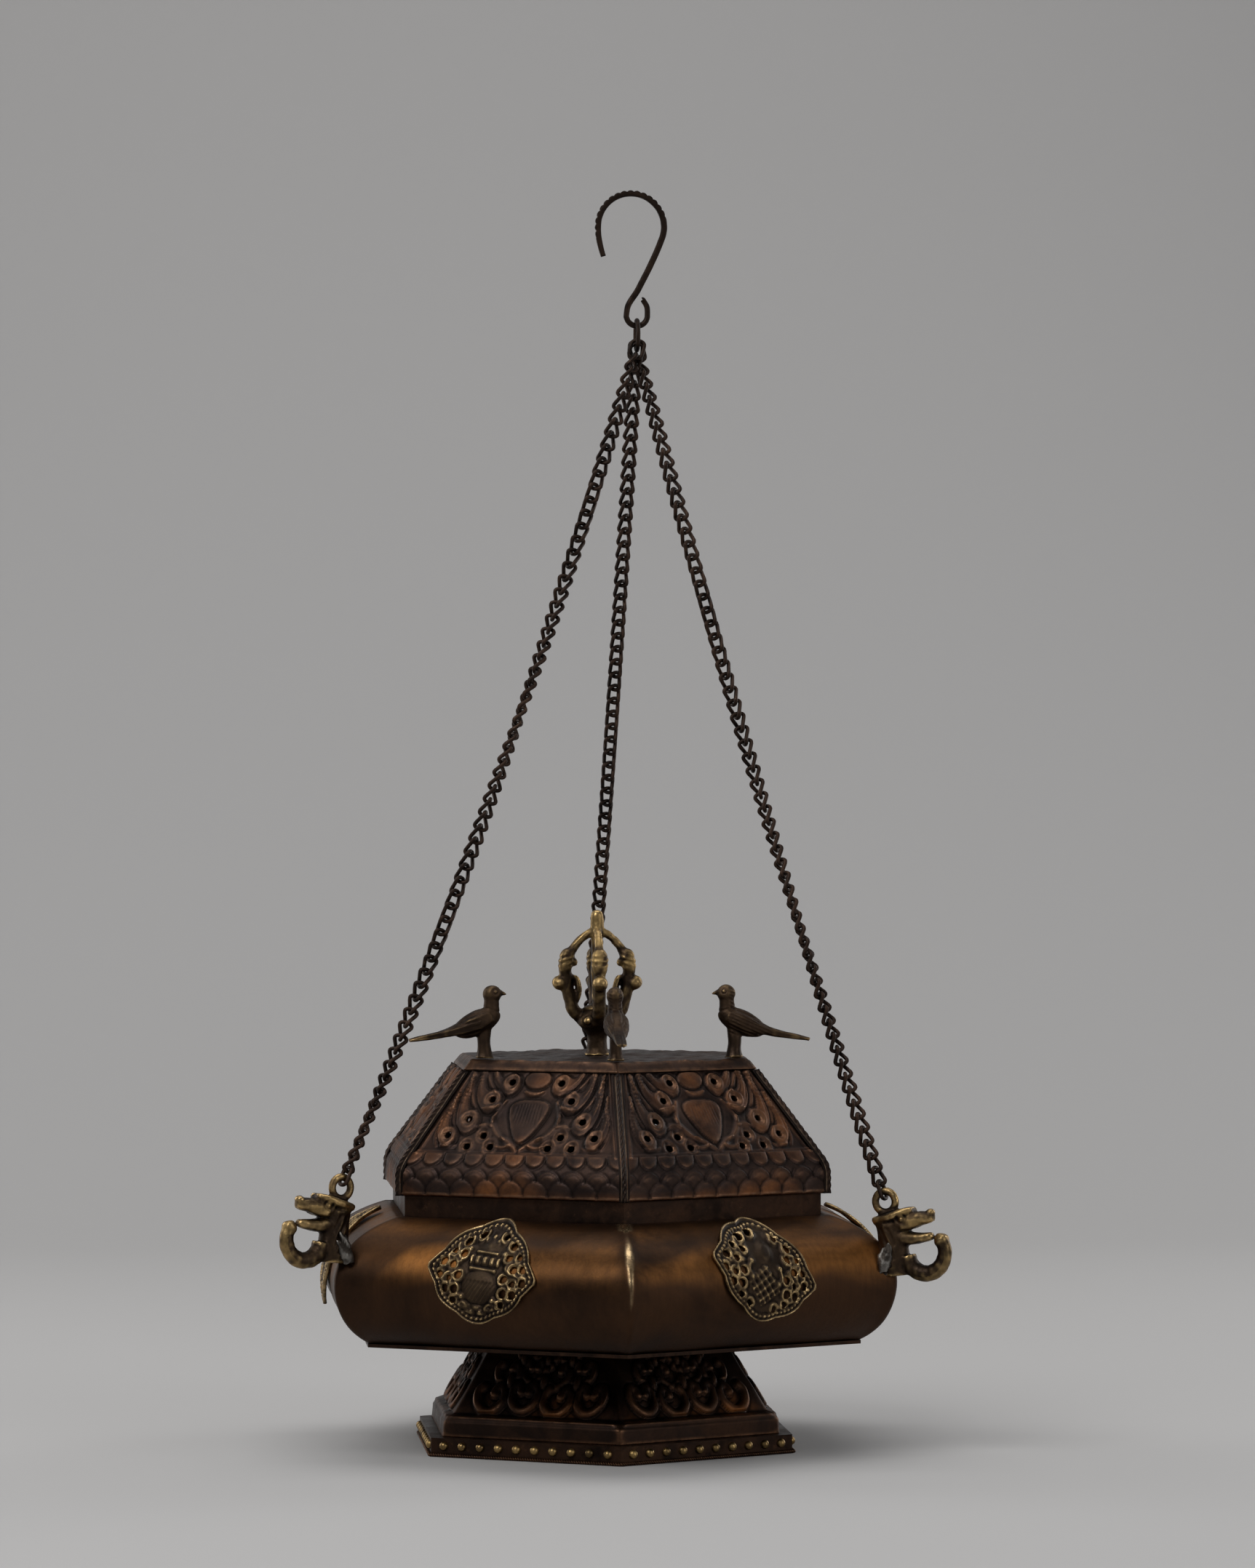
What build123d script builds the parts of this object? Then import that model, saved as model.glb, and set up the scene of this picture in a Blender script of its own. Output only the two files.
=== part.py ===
from build123d import *
from math import atan2, cos, degrees, pi, radians, sin, sqrt, tan
import os

# A hanging incense burner: a six-sided bowl on a flared foot, a pierced lid, three chains and a hook.
# Millimetres. Everything is drawn about the bowl's axis with z up from the table, and a corner of the
# hexagon at -Y. write() then moves it so that the origin is the centre of the hook's bend.
# The hexagonal pieces are given by half profiles: x is the distance from the axis to a flat side.

# ---- Driving dimensions ----
HOOK_HEIGHT = 425.8  # centre of the hook's bend above the table
HOOK_OFFSET = 9.7  # the hook hangs this far to the +X side of the bowl's axis

HOOK_INNER_RADIUS = 10.5
HOOK_DEPTH = 2.2  # the hook's strip, across the bend
HOOK_WIDTH = 2.4  # the strip, along Y
HOOK_EDGE = 0.5
HOOK_TIP = (-9.7, -10.5)
SHANK_END = (2.0, -22.9)
EYE_CENTRE = (2.05, -31.1)  # the bent eye below the shank
EYE_RADIUS = 3.7
EYE_WIRE = 1.05  # radius of the wire that the eye is bent from
EYE_END = (3.9, -25.6)

RING_RADIUS = 5.2  # the top link's centre line
RING_WIRE = 0.8
RING_GAP = 0.1

LINK_WIRE = 0.7  # radius of the chain wire
LINK_HALF_LENGTH = 3.2  # centre of a link to its end's centre line
LINK_HALF_WIDTH = 2.2
LINK_END_TURN = 40.0
LINK_SHOULDER = 1.91  # height where a link is widest, and its wire bends
LINK_BEND_PROUD = 0.02
LINKS = 64
FIRST_LINK_ABOVE = 2.2  # the first link's end, above the ring's wire
LAST_LINK_ABOVE = 4.2  # the last link's centre, above the bracket eye's centre

BOWL_FLAT = 96.1  # widest flat distance
BELLY_LOW_RADIUS = 22.0
BELLY_HIGH_RADIUS = 19.75
BELLY_TURN = 49.4  # angle that the upper belly turns through before the shoulder
BOWL_WIDEST_Z = 60.0
BOWL_BASE_Z = 40.0
SHOULDER_Z = 82.5
SHOULDER_FLAT = 74.5
BASE_OPENING = 76.0  # flat distance of the hole that the bottom plate closes
SHEET = 1.2  # bowl and foot sheet
COLLAR_FLAT = 71.6
COLLAR_TOP_Z = 99.6
FLOOR_FLAT = 84.5

LID_BOTTOM_Z = 90.0
RIM_FLAT = 73.6
RIM_TOP_Z = 96.5
SLOPE_START = (71.0, 103.0)  # flat distance and height where the straight slope starts
SLOPE = 0.722  # flat distance lost per mm of height
PANEL_TOP_Z = 134.8
PLATE_TOP_Z = 136.0
LIP = 1.0
LIP_BOTTOM_Z = 132.3
LID_SHEET = 1.0
SEAM_WIDTH = 5.0
SEAM_PROUD = 0.8
VENT_RADIUS = 1.3
# each vent's distance from the middle of the side, and its height; both halves have them
VENTS = [(9.3, 128.2), (14.9, 122.4), (21.4, 115.7), (27.6, 110.4), (14.6, 110.8), (19.8, 107.2),
         (10.9, 107.2)]

FOOT_TOP_FLAT = 39.8
FOOT_OPENING = 33.0  # through the flange under the bowl
FOOT_SLOPE_FLAT = 55.0
FOOT_SLOPE_Z = 14.0
SKIRT_FLAT = 58.3
BAND_FLAT = 62.3
BAND_TOP_Z = 6.5
BAND_SHEET = 1.5
LEDGE = 2.2  # the skirt stands on this much of the band's top
ROPE_SIZE = 1.2
BEAD_RADIUS = 1.6
BEADS_PER_SIDE = 10
BEAD_PITCH = 6.9
BEAD_Z = 3.8

PLAQUE_WIDTH = 41.5
PLAQUE_HEIGHT = 33.5
PLAQUE_Z = 66.2
PLAQUE_SHEET = 1.6
PLAQUE_BEND = 28.0  # radius of its back
PLAQUE_TOUCH = 30.4  # angle up the belly at which its back touches

BIRD_FOOT_RADIUS = 50.0
BIRD_TAIL_YAW = 25.0  # the side birds' tails turn this far to the rear
FINIAL_OFFSET = -2.2
TANG_RADIUS = 1.6
SEAT_RADIUS = 2.4  # of the solder beside each bracket
SEAT_LENGTH = 7.0
STEM_HEIGHT = 17.0
EYE_OUTER = 5.0  # the bracket's eye
EYE_HOLE = 2.1
EYE_THICK = 1.9
TRUNK_RADIUS = 2.35
TRUNK_BEND = 7.6
TRUNK_CENTRE = (14.5, -17.0)
FIT = 0.05  # gap round the finial's tang

SIDES = {"front_left": -120, "front_right": -60, "right": 0, "rear_right": 60, "rear_left": 120, "left": 180}
PLAQUE_TILT = {"front_left": -6, "front_right": -17, "right": 4, "rear_right": -8, "rear_left": 6, "left": -5}
# each bracket's direction, its eye's distance from the axis and height, and its chain's sag
BRACKETS = {"left": (-150, 108.3, 93.6, 4.5), "right": (-30, 106.7, 87.7, 2.3), "rear": (90, 107.5, 90.6, 3.0)}
CHAIN_EXTRA_TWIST = {"left": 180, "right": 180, "rear": 0}
FIRST_LINK_TURN = {"left": -12, "right": -16, "rear": 16}  # so that the crowded upper links clear each other
RING_SPREAD = {"left": -3.0, "right": 0.5, "rear": 3.2}  # where each chain hangs on the ring, along Y

BIG = 300.0
Z = Vector(0, 0, 1)


# ---- Helpers ----
def half_face(edges):
    """The face between these edges, which start and end on the Z axis, and the axis."""
    outline = Curve() + edges
    first, last = outline @ 0, outline @ 1
    return make_face([*edges, Line(last, first)])


def hexagon(edges):
    """A solid hexagon whose six sides follow one half profile."""
    half = half_face(edges)
    slab = extrude(half + mirror(half, about=Plane.YZ), BIG / 2, both=True)
    return slab & (Rot(Z=60) * slab) & (Rot(Z=120) * slab)


def corners(*points):
    """Straight edges through (x, z) points."""
    places = [(x, 0, z) for x, z in points]
    return [Line(a, b) for a, b in zip(places, places[1:])]


def hex_block(flat, low, high):
    """An upright hexagonal block."""
    return hexagon(corners((0, low), (flat, low), (flat, high), (0, high)))


def at(x, z):
    return (x, 0, z)


def ellipsoid(centre, sizes):
    return Pos(*centre) * scale(Sphere(1), by=sizes)


def rod(path, radius):
    """Round bar along a path."""
    start = Plane(origin=path @ 0, z_dir=path % 0)
    return sweep(start * Circle(radius), path)


def group(solids):
    return Compound(children=solids)


def write(name, shape):
    """Moves a node to the hook's frame and writes it."""
    moved = Pos(-HOOK_OFFSET, 0, -HOOK_HEIGHT) * shape
    export_step(moved, f"parts/{name}.step")


# ---- Bowl ----
def bowl_profile(inset):
    """The bowl's side: base, rounded belly and sloping shoulder, moved in by inset."""
    low, high = BELLY_LOW_RADIUS - inset, BELLY_HIGH_RADIUS - inset
    low_centre, high_centre = BOWL_FLAT - BELLY_LOW_RADIUS, BOWL_FLAT - BELLY_HIGH_RADIUS
    base_z = BOWL_BASE_Z + inset
    base_x = low_centre + sqrt(low**2 - (BOWL_WIDEST_Z - base_z) ** 2)
    turn = radians(BELLY_TURN)
    belly_top = at(high_centre + high * cos(turn), BOWL_WIDEST_Z + high * sin(turn))
    widest = at(BOWL_FLAT - inset, BOWL_WIDEST_Z)
    low_mid_turn = -0.55 * (pi / 2)
    low_mid = at(low_centre + low * cos(low_mid_turn), BOWL_WIDEST_Z + low * sin(low_mid_turn))
    high_mid = at(high_centre + high * cos(turn / 2), BOWL_WIDEST_Z + high * sin(turn / 2))
    shoulder = at(SHOULDER_FLAT, SHOULDER_Z - inset)
    return [
        ThreePointArc(at(base_x, base_z), low_mid, widest),
        ThreePointArc(widest, high_mid, belly_top),
        TangentArc(belly_top, shoulder, tangent=(-sin(turn), 0, cos(turn))),
    ]


def bowl_solid(inset):
    side = bowl_profile(inset)
    base, shoulder = side[0] @ 0, side[-1] @ 1
    return hexagon([Line((0, 0, base.Z), base), *side, Line(shoulder, (0, 0, shoulder.Z))])


def bowl_wall():
    """Raised sheet, open at the collar and over the bottom plate."""
    shell = bowl_solid(0) - bowl_solid(SHEET)
    mouth = hex_block(COLLAR_FLAT, SHOULDER_Z - 4, SHOULDER_Z + 4)
    base = hex_block(BASE_OPENING, BOWL_BASE_Z - 1, BOWL_BASE_Z + 4)
    return shell - mouth - base


def bowl_floor():
    """Flat plate with a thin edge that stands out under the wall."""
    return hex_block(FLOOR_FLAT, BOWL_BASE_Z - SHEET, BOWL_BASE_Z)


def bowl_collar():
    """Upright neck through the bowl's mouth, which the lid fits over."""
    low = SHOULDER_Z - 3
    inner = hex_block(COLLAR_FLAT - LID_SHEET, low - 1, COLLAR_TOP_Z + 1)
    return hex_block(COLLAR_FLAT, low, COLLAR_TOP_Z) - inner


def plaque(tilt):
    """One pierced plaque, on the side that faces +X, bent to stand a little off the belly."""
    half_w, half_h = PLAQUE_WIDTH / 2, PLAQUE_HEIGHT / 2
    outline = Ellipse(half_w * 0.84, half_h * 0.84)
    for side in (0, 90, 180, 270):
        reach = half_w if side % 180 == 0 else half_h
        outline += Rot(Z=side) * make_face(Polyline((reach, 0), (reach * 0.7, 6), (reach * 0.7, -6), close=True))
    for turn in (28, 62):
        lobe_at = (half_w * 0.68 * cos(radians(turn)), half_h * 0.68 * sin(radians(turn)))
        for x, y in ((1, 1), (-1, 1), (1, -1), (-1, -1)):
            outline += Pos(lobe_at[0] * x, lobe_at[1] * y) * Circle(5.6)
    for k in range(16):
        turn = 2 * pi * (k + 0.5) / 16
        outline -= Pos(half_w * 0.64 * cos(turn), half_h * 0.64 * sin(turn)) * Circle(1.3)
    face = Plane((75, 0, PLAQUE_Z), x_dir=(0, 1, 0), z_dir=(1, 0, 0)) * (Rot(Z=tilt) * outline)
    block = extrude(face, 40)
    inward = PLAQUE_BEND - BELLY_HIGH_RADIUS - 0.03
    x = BOWL_FLAT - BELLY_HIGH_RADIUS - inward * cos(radians(PLAQUE_TOUCH))
    z = BOWL_WIDEST_Z - inward * sin(radians(PLAQUE_TOUCH))
    back = Pos(x, 0, z) * (Rot(X=90) * Cylinder(PLAQUE_BEND, 80))
    front = Pos(x, 0, z) * (Rot(X=90) * Cylinder(PLAQUE_BEND + PLAQUE_SHEET, 80))
    return block & (front - back)


# ---- Foot ----
def foot_shell():
    """Hollow pedestal: a flange under the bowl, a slope, a skirt and a flange on the band."""
    top = BOWL_BASE_Z - SHEET
    outer = hexagon(corners((0, BAND_TOP_Z), (SKIRT_FLAT, BAND_TOP_Z), (FOOT_SLOPE_FLAT, FOOT_SLOPE_Z),
                            (FOOT_TOP_FLAT, top), (0, top)))
    t = SHEET
    inner = hexagon(corners((0, BAND_TOP_Z - 1), (SKIRT_FLAT - t, BAND_TOP_Z - 1), (SKIRT_FLAT - t, BAND_TOP_Z),
                            (FOOT_SLOPE_FLAT - 1.3 * t, FOOT_SLOPE_Z), (FOOT_TOP_FLAT - 1.3 * t, top - t),
                            (0, top - t)))
    return outer - inner - hex_block(FOOT_OPENING, top - 5, top + 1)


def foot_band():
    """Upright strip with a ledge on top that the skirt stands on."""
    outer = hex_block(BAND_FLAT, 0, BAND_TOP_Z)
    inner = hex_block(BAND_FLAT - BAND_SHEET, -1, BAND_TOP_Z - 1)
    return outer - inner - hex_block(SKIRT_FLAT - LEDGE, BAND_TOP_Z - 2, BAND_TOP_Z + 1)


def foot_rope():
    outside = BAND_FLAT + ROPE_SIZE
    outer = hexagon(corners((0, 0), (outside, 0), (outside, ROPE_SIZE * 0.8), (outside - 0.3, ROPE_SIZE),
                            (0, ROPE_SIZE)))
    return outer - hex_block(BAND_FLAT, -1, ROPE_SIZE + 1)


def foot_beads():
    """A row of domes soldered to each side of the band."""
    base = (Align.CENTER, Align.CENTER, Align.MIN)
    dome = Rot(Y=90) * Sphere(BEAD_RADIUS, arc_size1=0, align=base)
    first = -(BEADS_PER_SIDE - 1) / 2
    row = [Pos(BAND_FLAT, (first + k) * BEAD_PITCH, BEAD_Z) * dome for k in range(BEADS_PER_SIDE)]
    return group([Rot(Z=turn) * bead for turn in SIDES.values() for bead in row])


# ---- Lid ----
def slope_flat(z):
    """Flat distance of the lid's outside at a height on its slope."""
    return SLOPE_START[0] + SLOPE * (SLOPE_START[1] - z)


def lid_solid(grow):
    """The lid's outside, moved out by grow: an upright rim, a rounded turn and a straight slope."""
    lean = sqrt(1 + SLOPE**2)
    rim = at(RIM_FLAT + grow, RIM_TOP_Z)
    turn_end = at(SLOPE_START[0] + grow * lean, SLOPE_START[1])
    top = at(slope_flat(PANEL_TOP_Z) + grow * lean, PANEL_TOP_Z)
    return hexagon([
        Line(at(0, LID_BOTTOM_Z), at(RIM_FLAT + grow, LID_BOTTOM_Z)),
        Line(at(RIM_FLAT + grow, LID_BOTTOM_Z), rim),
        TangentArc(rim, turn_end, tangent=(0, 0, 1)),
        Line(turn_end, top),
        Line(top, at(0, PANEL_TOP_Z)),
    ])


def lid_panel(shell):
    """One sixth of the lid's sheet, on the side that faces +X, with its vents."""
    reach, half = 120.0, 120.0 * tan(pi / 6)
    wedge = extrude(make_face(Polyline((0, 0), (reach, half), (reach, -half), close=True)), BIG)
    panel = shell & wedge
    lean = degrees(atan2(1, SLOPE))
    for across, height in VENTS:
        for y in (across, -across):
            panel -= Pos(slope_flat(height), y, height) * (Rot(Y=lean) * Cylinder(VENT_RADIUS, 8))
    return panel


def lid_plate():
    """Flat top plate with a lip folded down over the panels."""
    top = hexagon(corners((0, LIP_BOTTOM_Z), (slope_flat(LIP_BOTTOM_Z) + LIP, LIP_BOTTOM_Z),
                          (slope_flat(PLATE_TOP_Z) + LIP, PLATE_TOP_Z), (0, PLATE_TOP_Z)))
    under = hexagon(corners((0, LIP_BOTTOM_Z - 1), (slope_flat(LIP_BOTTOM_Z - 1), LIP_BOTTOM_Z - 1),
                            (slope_flat(PANEL_TOP_Z), PANEL_TOP_Z), (0, PANEL_TOP_Z)))
    return top - under - Pos(FINIAL_OFFSET, 0, PLATE_TOP_Z) * Cylinder(TANG_RADIUS + FIT, 8)


def lid_seams():
    """Cover strips over the six joints between panels."""
    layer = lid_solid(SEAM_PROUD) - lid_solid(0)
    top = Box(BIG, SEAM_WIDTH, LIP_BOTTOM_Z - LID_BOTTOM_Z, align=(Align.MIN, Align.CENTER, Align.MIN))
    strips = [layer & (Rot(Z=turn + 30) * (Pos(0, 0, LID_BOTTOM_Z) * top)) for turn in SIDES.values()]
    return group([solid for strip in strips for solid in strip.solids()])


# ---- Castings ----
def finial():
    """Half thunderbolt: a stem and bulb, a middle prong and four bowed prongs that meet at a knob."""
    stem = make_face([
        Polyline(at(0, 0), at(4.8, 0), at(3.5, 2.5), at(3.5, 7.5)),
        Spline(at(3.5, 7.5), at(6.7, 12.5), at(4.4, STEM_HEIGHT)),
        Polyline(at(4.4, STEM_HEIGHT), at(0, STEM_HEIGHT), at(0, 0)),
    ])
    body = revolve(stem, Axis.Z)
    body += Pos(0, 0, STEM_HEIGHT - 1) * Cone(1.7, 2.2, 28, align=(Align.CENTER, Align.CENTER, Align.MIN))
    body += Pos(0, 0, 42) * Cylinder(2.25, 7, align=(Align.CENTER, Align.CENTER, Align.MIN))
    body += Pos(0, 0, 48.6) * Sphere(2.4)
    prong = rod(ThreePointArc(at(2.6, STEM_HEIGHT - 1), at(12.2, 30), at(1.0, 43.5)), 1.7)
    prong += Pos(13.4, 0, 26.5) * Sphere(2.3)
    for turn in (10, 100, 190, 280):
        body += Rot(Z=turn) * prong
    tang = Cylinder(TANG_RADIUS, 3.4, align=(Align.CENTER, Align.CENTER, Align.MAX))
    peen = Pos(0, 0, -2.4) * Cylinder(2.4, 1.0, align=(Align.CENTER, Align.CENTER, Align.MAX))
    return Pos(FINIAL_OFFSET, 0, PLATE_TOP_Z) * (body + tang + peen)


def finial_washer():
    low = PLATE_TOP_Z - 2.3
    ring = Cylinder(4.5, 1.0) - Cylinder(TANG_RADIUS + FIT, 2)
    return Pos(FINIAL_OFFSET, 0, low + 0.5) * ring


def bird():
    """A small bird that looks along +X, standing on one stout leg at the origin."""
    body = Pos(-2.6, 0, 11.8) * (Rot(Y=-16) * scale(Sphere(1), by=(9.0, 3.7, 4.0)))
    body += ellipsoid((2.6, 0, 16.0), (3.3, 3.2, 6.0))
    body += Pos(2.4, 0, 22.4) * Sphere(3.2)
    body += Pos(4.4, 0, 22.4) * (Rot(Y=95) * Cone(1.5, 0.4, 3.4, align=(Align.CENTER, Align.CENTER, Align.MIN)))
    tail = Plane(origin=(-8.5, 0, 9.8), z_dir=(-1, 0, -0.2)) * Ellipse(2.0, 2.6)
    tip = Plane(origin=(-26.6, 0, 6.2), z_dir=(-1, 0, -0.2)) * Ellipse(0.9, 1.7)
    body += loft([tail, tip])
    body += Cylinder(2.2, 10, align=(Align.CENTER, Align.CENTER, Align.MIN))
    body += Cone(3.1, 2.2, 2.5, align=(Align.CENTER, Align.CENTER, Align.MIN))
    return body


def placed_bird(corner, looks):
    """A bird on the plate's corner at this angle, looking along another."""
    foot = (BIRD_FOOT_RADIUS * cos(radians(corner)), BIRD_FOOT_RADIUS * sin(radians(corner)))
    return Pos(*foot, PLATE_TOP_Z) * (Rot(Z=looks) * bird())


def bracket():
    """Cast dragon head with its eye at the origin and +X away from the bowl."""
    eye = Rot(X=90) * (Cylinder(EYE_OUTER, EYE_THICK) - Cylinder(EYE_HOLE, EYE_THICK))
    eye = fillet(eye.edges(), 0.5)
    skull = ellipsoid((2.5, 0, -7.5), (6.5, 4.4, 4.2)) - Rot(X=90) * Cylinder(EYE_OUTER - 1, 20)
    brow = Pos(5.5, 0, -4.9) * (Rot(Y=-8) * scale(Sphere(1), by=(7.5, 4.8, 1.5)))
    upper_jaw = ellipsoid((11.0, 0, -7.0), (7.4, 3.0, 1.9))
    lower_jaw = ellipsoid((10.0, 0, -11.0), (6.4, 2.6, 1.4))
    neck = loft([Pos(2.0, 0, -7.5) * Ellipse(5.4, 3.8), Pos(3.2, 0, -25.0) * Ellipse(5.6, 4.2)])
    x, z = TRUNK_CENTRE
    bend = CenterArc((0, 0), TRUNK_BEND, 190, 205)
    trunk = Pos(x, 0, z) * (Rot(X=90) * rod(bend, TRUNK_RADIUS))
    end = radians(35)
    tip_at = (x + TRUNK_BEND * cos(end), 0, z + TRUNK_BEND * sin(end))
    tip = Plane(origin=tip_at, z_dir=(-sin(end), 0, cos(end))) * Cone(
        TRUNK_RADIUS, 0.9, 3.2, align=(Align.CENTER, Align.CENTER, Align.MIN))
    return eye + (skull + neck + brow + upper_jaw + lower_jaw + trunk) + tip


def placed_bracket(name, shape):
    turn, radius, height, _ = BRACKETS[name]
    return Rot(Z=turn) * (Pos(radius, 0, height) * shape)


def solder_seat(side):
    """A lump beside a bracket's neck."""
    lump = Cylinder(SEAT_RADIUS, SEAT_LENGTH)
    for end in (SEAT_LENGTH / 2, -SEAT_LENGTH / 2):
        lump += Pos(0, 0, end) * Sphere(SEAT_RADIUS)
    return Pos(2.0, 3.7 * side, -20.0) * (Rot(Y=15) * lump)


# ---- Hook, ring and chains ----
def hook():
    """Flat strip bent to a hook, running down into an eye of round wire."""
    r = HOOK_INNER_RADIUS + HOOK_DEPTH / 2
    turn = radians(-20)
    down = (sin(turn), -cos(turn))
    path = Wire([
        TangentArc((-r, 0), HOOK_TIP, tangent=(0, -1)),
        CenterArc((0, 0), r, -20, 200),
        TangentArc((r * cos(turn), r * sin(turn)), SHANK_END, tangent=down),
    ])
    strip = extrude(make_face(offset(path, HOOK_DEPTH / 2, side=Side.BOTH)), HOOK_WIDTH / 2, both=True)
    strip = fillet(strip.edges().group_by(Axis.Z)[0] + strip.edges().group_by(Axis.Z)[-1], HOOK_EDGE)
    x, y = EYE_CENTRE
    into_eye = Spline(SHANK_END, (x - EYE_RADIUS, y), tangents=[(-0.5, -0.87), (0, -1)])
    bottom = CenterArc(EYE_CENTRE, EYE_RADIUS, 180, 180)
    back = TangentArc((x + EYE_RADIUS, y), EYE_END, tangent=(0, 1))
    loop = rod(into_eye, EYE_WIRE) + rod(bottom, EYE_WIRE) + rod(back, EYE_WIRE)
    return Pos(HOOK_OFFSET, 0, HOOK_HEIGHT) * (Rot(X=90) * (strip + loop))


RING_X = HOOK_OFFSET + EYE_CENTRE[0]
RING_TOP_Z = HOOK_HEIGHT + EYE_CENTRE[1] - EYE_RADIUS + EYE_WIRE + RING_GAP + RING_WIRE
RING_Z = RING_TOP_Z - RING_RADIUS


def top_link():
    return Pos(RING_X, 0, RING_Z) * (Rot(Y=90) * Torus(RING_RADIUS, RING_WIRE))


def link():
    """One curb link along Z: a long ring whose two ends are turned 40 degrees each way."""
    turn = radians(LINK_END_TURN)
    x, y = LINK_HALF_WIDTH * cos(turn), LINK_HALF_WIDTH * sin(turn)
    high, low = (x, y, LINK_SHOULDER), (x, -y, -LINK_SHOULDER)
    crown = rod(ThreePointArc(high, (0, 0, LINK_HALF_LENGTH), (-x, -y, LINK_SHOULDER)), LINK_WIRE)
    side = rod(Line(low, high), LINK_WIRE)
    bend = Sphere(LINK_WIRE + LINK_BEND_PROUD)
    half = crown + side + Pos(*high) * bend + Pos(*low) * bend
    return half + Rot(Y=180) * half


def end_link():
    """The flat link at each end of a chain, across X."""
    straight = LINK_HALF_LENGTH - LINK_HALF_WIDTH
    side = Line((LINK_HALF_WIDTH, 0, 0), (LINK_HALF_WIDTH, 0, straight))
    bend = TangentArc((LINK_HALF_WIDTH, 0, straight), (-LINK_HALF_WIDTH, 0, straight), tangent=(0, 0, 1))
    back = Line((-LINK_HALF_WIDTH, 0, straight), (-LINK_HALF_WIDTH, 0, 0))
    end = rod(Wire([side, bend, back]), LINK_WIRE)
    return end + Rot(X=180) * end


def chain(name, middle_link, flat_link):
    """Links from the ring to a bracket's eye, on a curve that sags, each turned a little more than the last."""
    turn, radius, height, sag = BRACKETS[name]
    y = RING_SPREAD[name]
    drop = sqrt(RING_RADIUS**2 - y**2)
    hang = Vector(RING_X, y, RING_Z - drop)
    eye = Vector(radius * cos(radians(turn)), radius * sin(radians(turn)), height)
    along = (eye - hang).normalized()
    start = hang + along * (LINK_HALF_LENGTH - FIRST_LINK_ABOVE)
    end = eye - along * LAST_LINK_ABOVE
    inward = (Z * -1 - along * (Z * -1).dot(along)).normalized()
    curve = Bezier(start, (start + end) * 0.5 + inward * (2 * sag), end)

    def frame(t):
        """Plane at a share of the chain's length, with z down the chain and x level."""
        z_dir = curve % t
        return Plane(origin=curve @ t, x_dir=Vector(0, 1, 0).cross(z_dir), z_dir=z_dir)

    ring_wire = Vector(0, drop, y)
    tangential = Vector(-sin(radians(turn)), cos(radians(turn)), 0)
    last = frame(1)
    # the first link lies across the ring's wire, and the last link lies across the bracket's eye
    end_angle = degrees(atan2(tangential.dot(last.y_dir), tangential.dot(last.x_dir)))
    first = 135 + FIRST_LINK_TURN[name]
    total = (end_angle - 90) % 180 + CHAIN_EXTRA_TWIST[name] - FIRST_LINK_TURN[name]
    print(f"chain_{name}: pitch {curve.length / (LINKS - 1):.3f}, twist {total / (LINKS - 3):.2f} per link")
    upper = Plane(origin=curve @ 0, x_dir=ring_wire.cross(curve % 0), z_dir=curve % 0)
    links = [upper.location * flat_link]
    for k in range(1, LINKS - 1):
        spin = Rot(Z=first + total * (k - 1) / (LINKS - 3))
        links.append(frame(k / (LINKS - 1)).location * (spin * middle_link))
    links.append(last.location * (Rot(Z=end_angle) * flat_link))
    return group(links)


# ---- Build and write the nodes ----
os.makedirs("parts", exist_ok=True)

write("hook", hook())
write("top_link", top_link())

curb_link, flat_link = link(), end_link()
for name in BRACKETS:
    write(f"chain_{name}", chain(name, curb_link, flat_link))

bowl = bowl_solid(0)
cast_bracket = bracket()
lumps = [solder_seat(side) - cast_bracket for side in (1, -1)]
seats = []
for name in BRACKETS:
    write(f"bracket_{name}", placed_bracket(name, cast_bracket) - bowl)
    seats += [placed_bracket(name, lump) - bowl for lump in lumps]
write("solder_seats", group([solid for seat in seats for solid in seat.solids()]))

write("bowl_wall", bowl_wall())
write("bowl_floor", bowl_floor())
write("bowl_collar", bowl_collar())
for name, turn in SIDES.items():
    write(f"medallion_{name}", Rot(Z=turn) * plaque(PLAQUE_TILT[name]))

write("foot_shell", foot_shell())
write("foot_band", foot_band())
write("foot_rope", foot_rope())
write("foot_beads", foot_beads())

lid_sheet = lid_solid(0) - lid_solid(-LID_SHEET)
panel = lid_panel(lid_sheet)
for name, turn in SIDES.items():
    write(f"lid_panel_{name}", Rot(Z=turn) * panel)
write("lid_plate", lid_plate())
write("lid_seams", lid_seams())
write("finial", finial())
write("finial_washer", finial_washer())
write("bird_left", placed_bird(-150, -150 - BIRD_TAIL_YAW + 180))
write("bird_front", placed_bird(-90, 90))
write("bird_right", placed_bird(-30, -30 + BIRD_TAIL_YAW + 180))
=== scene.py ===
from math import cos, pi, radians, sin, sqrt, tan

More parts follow.
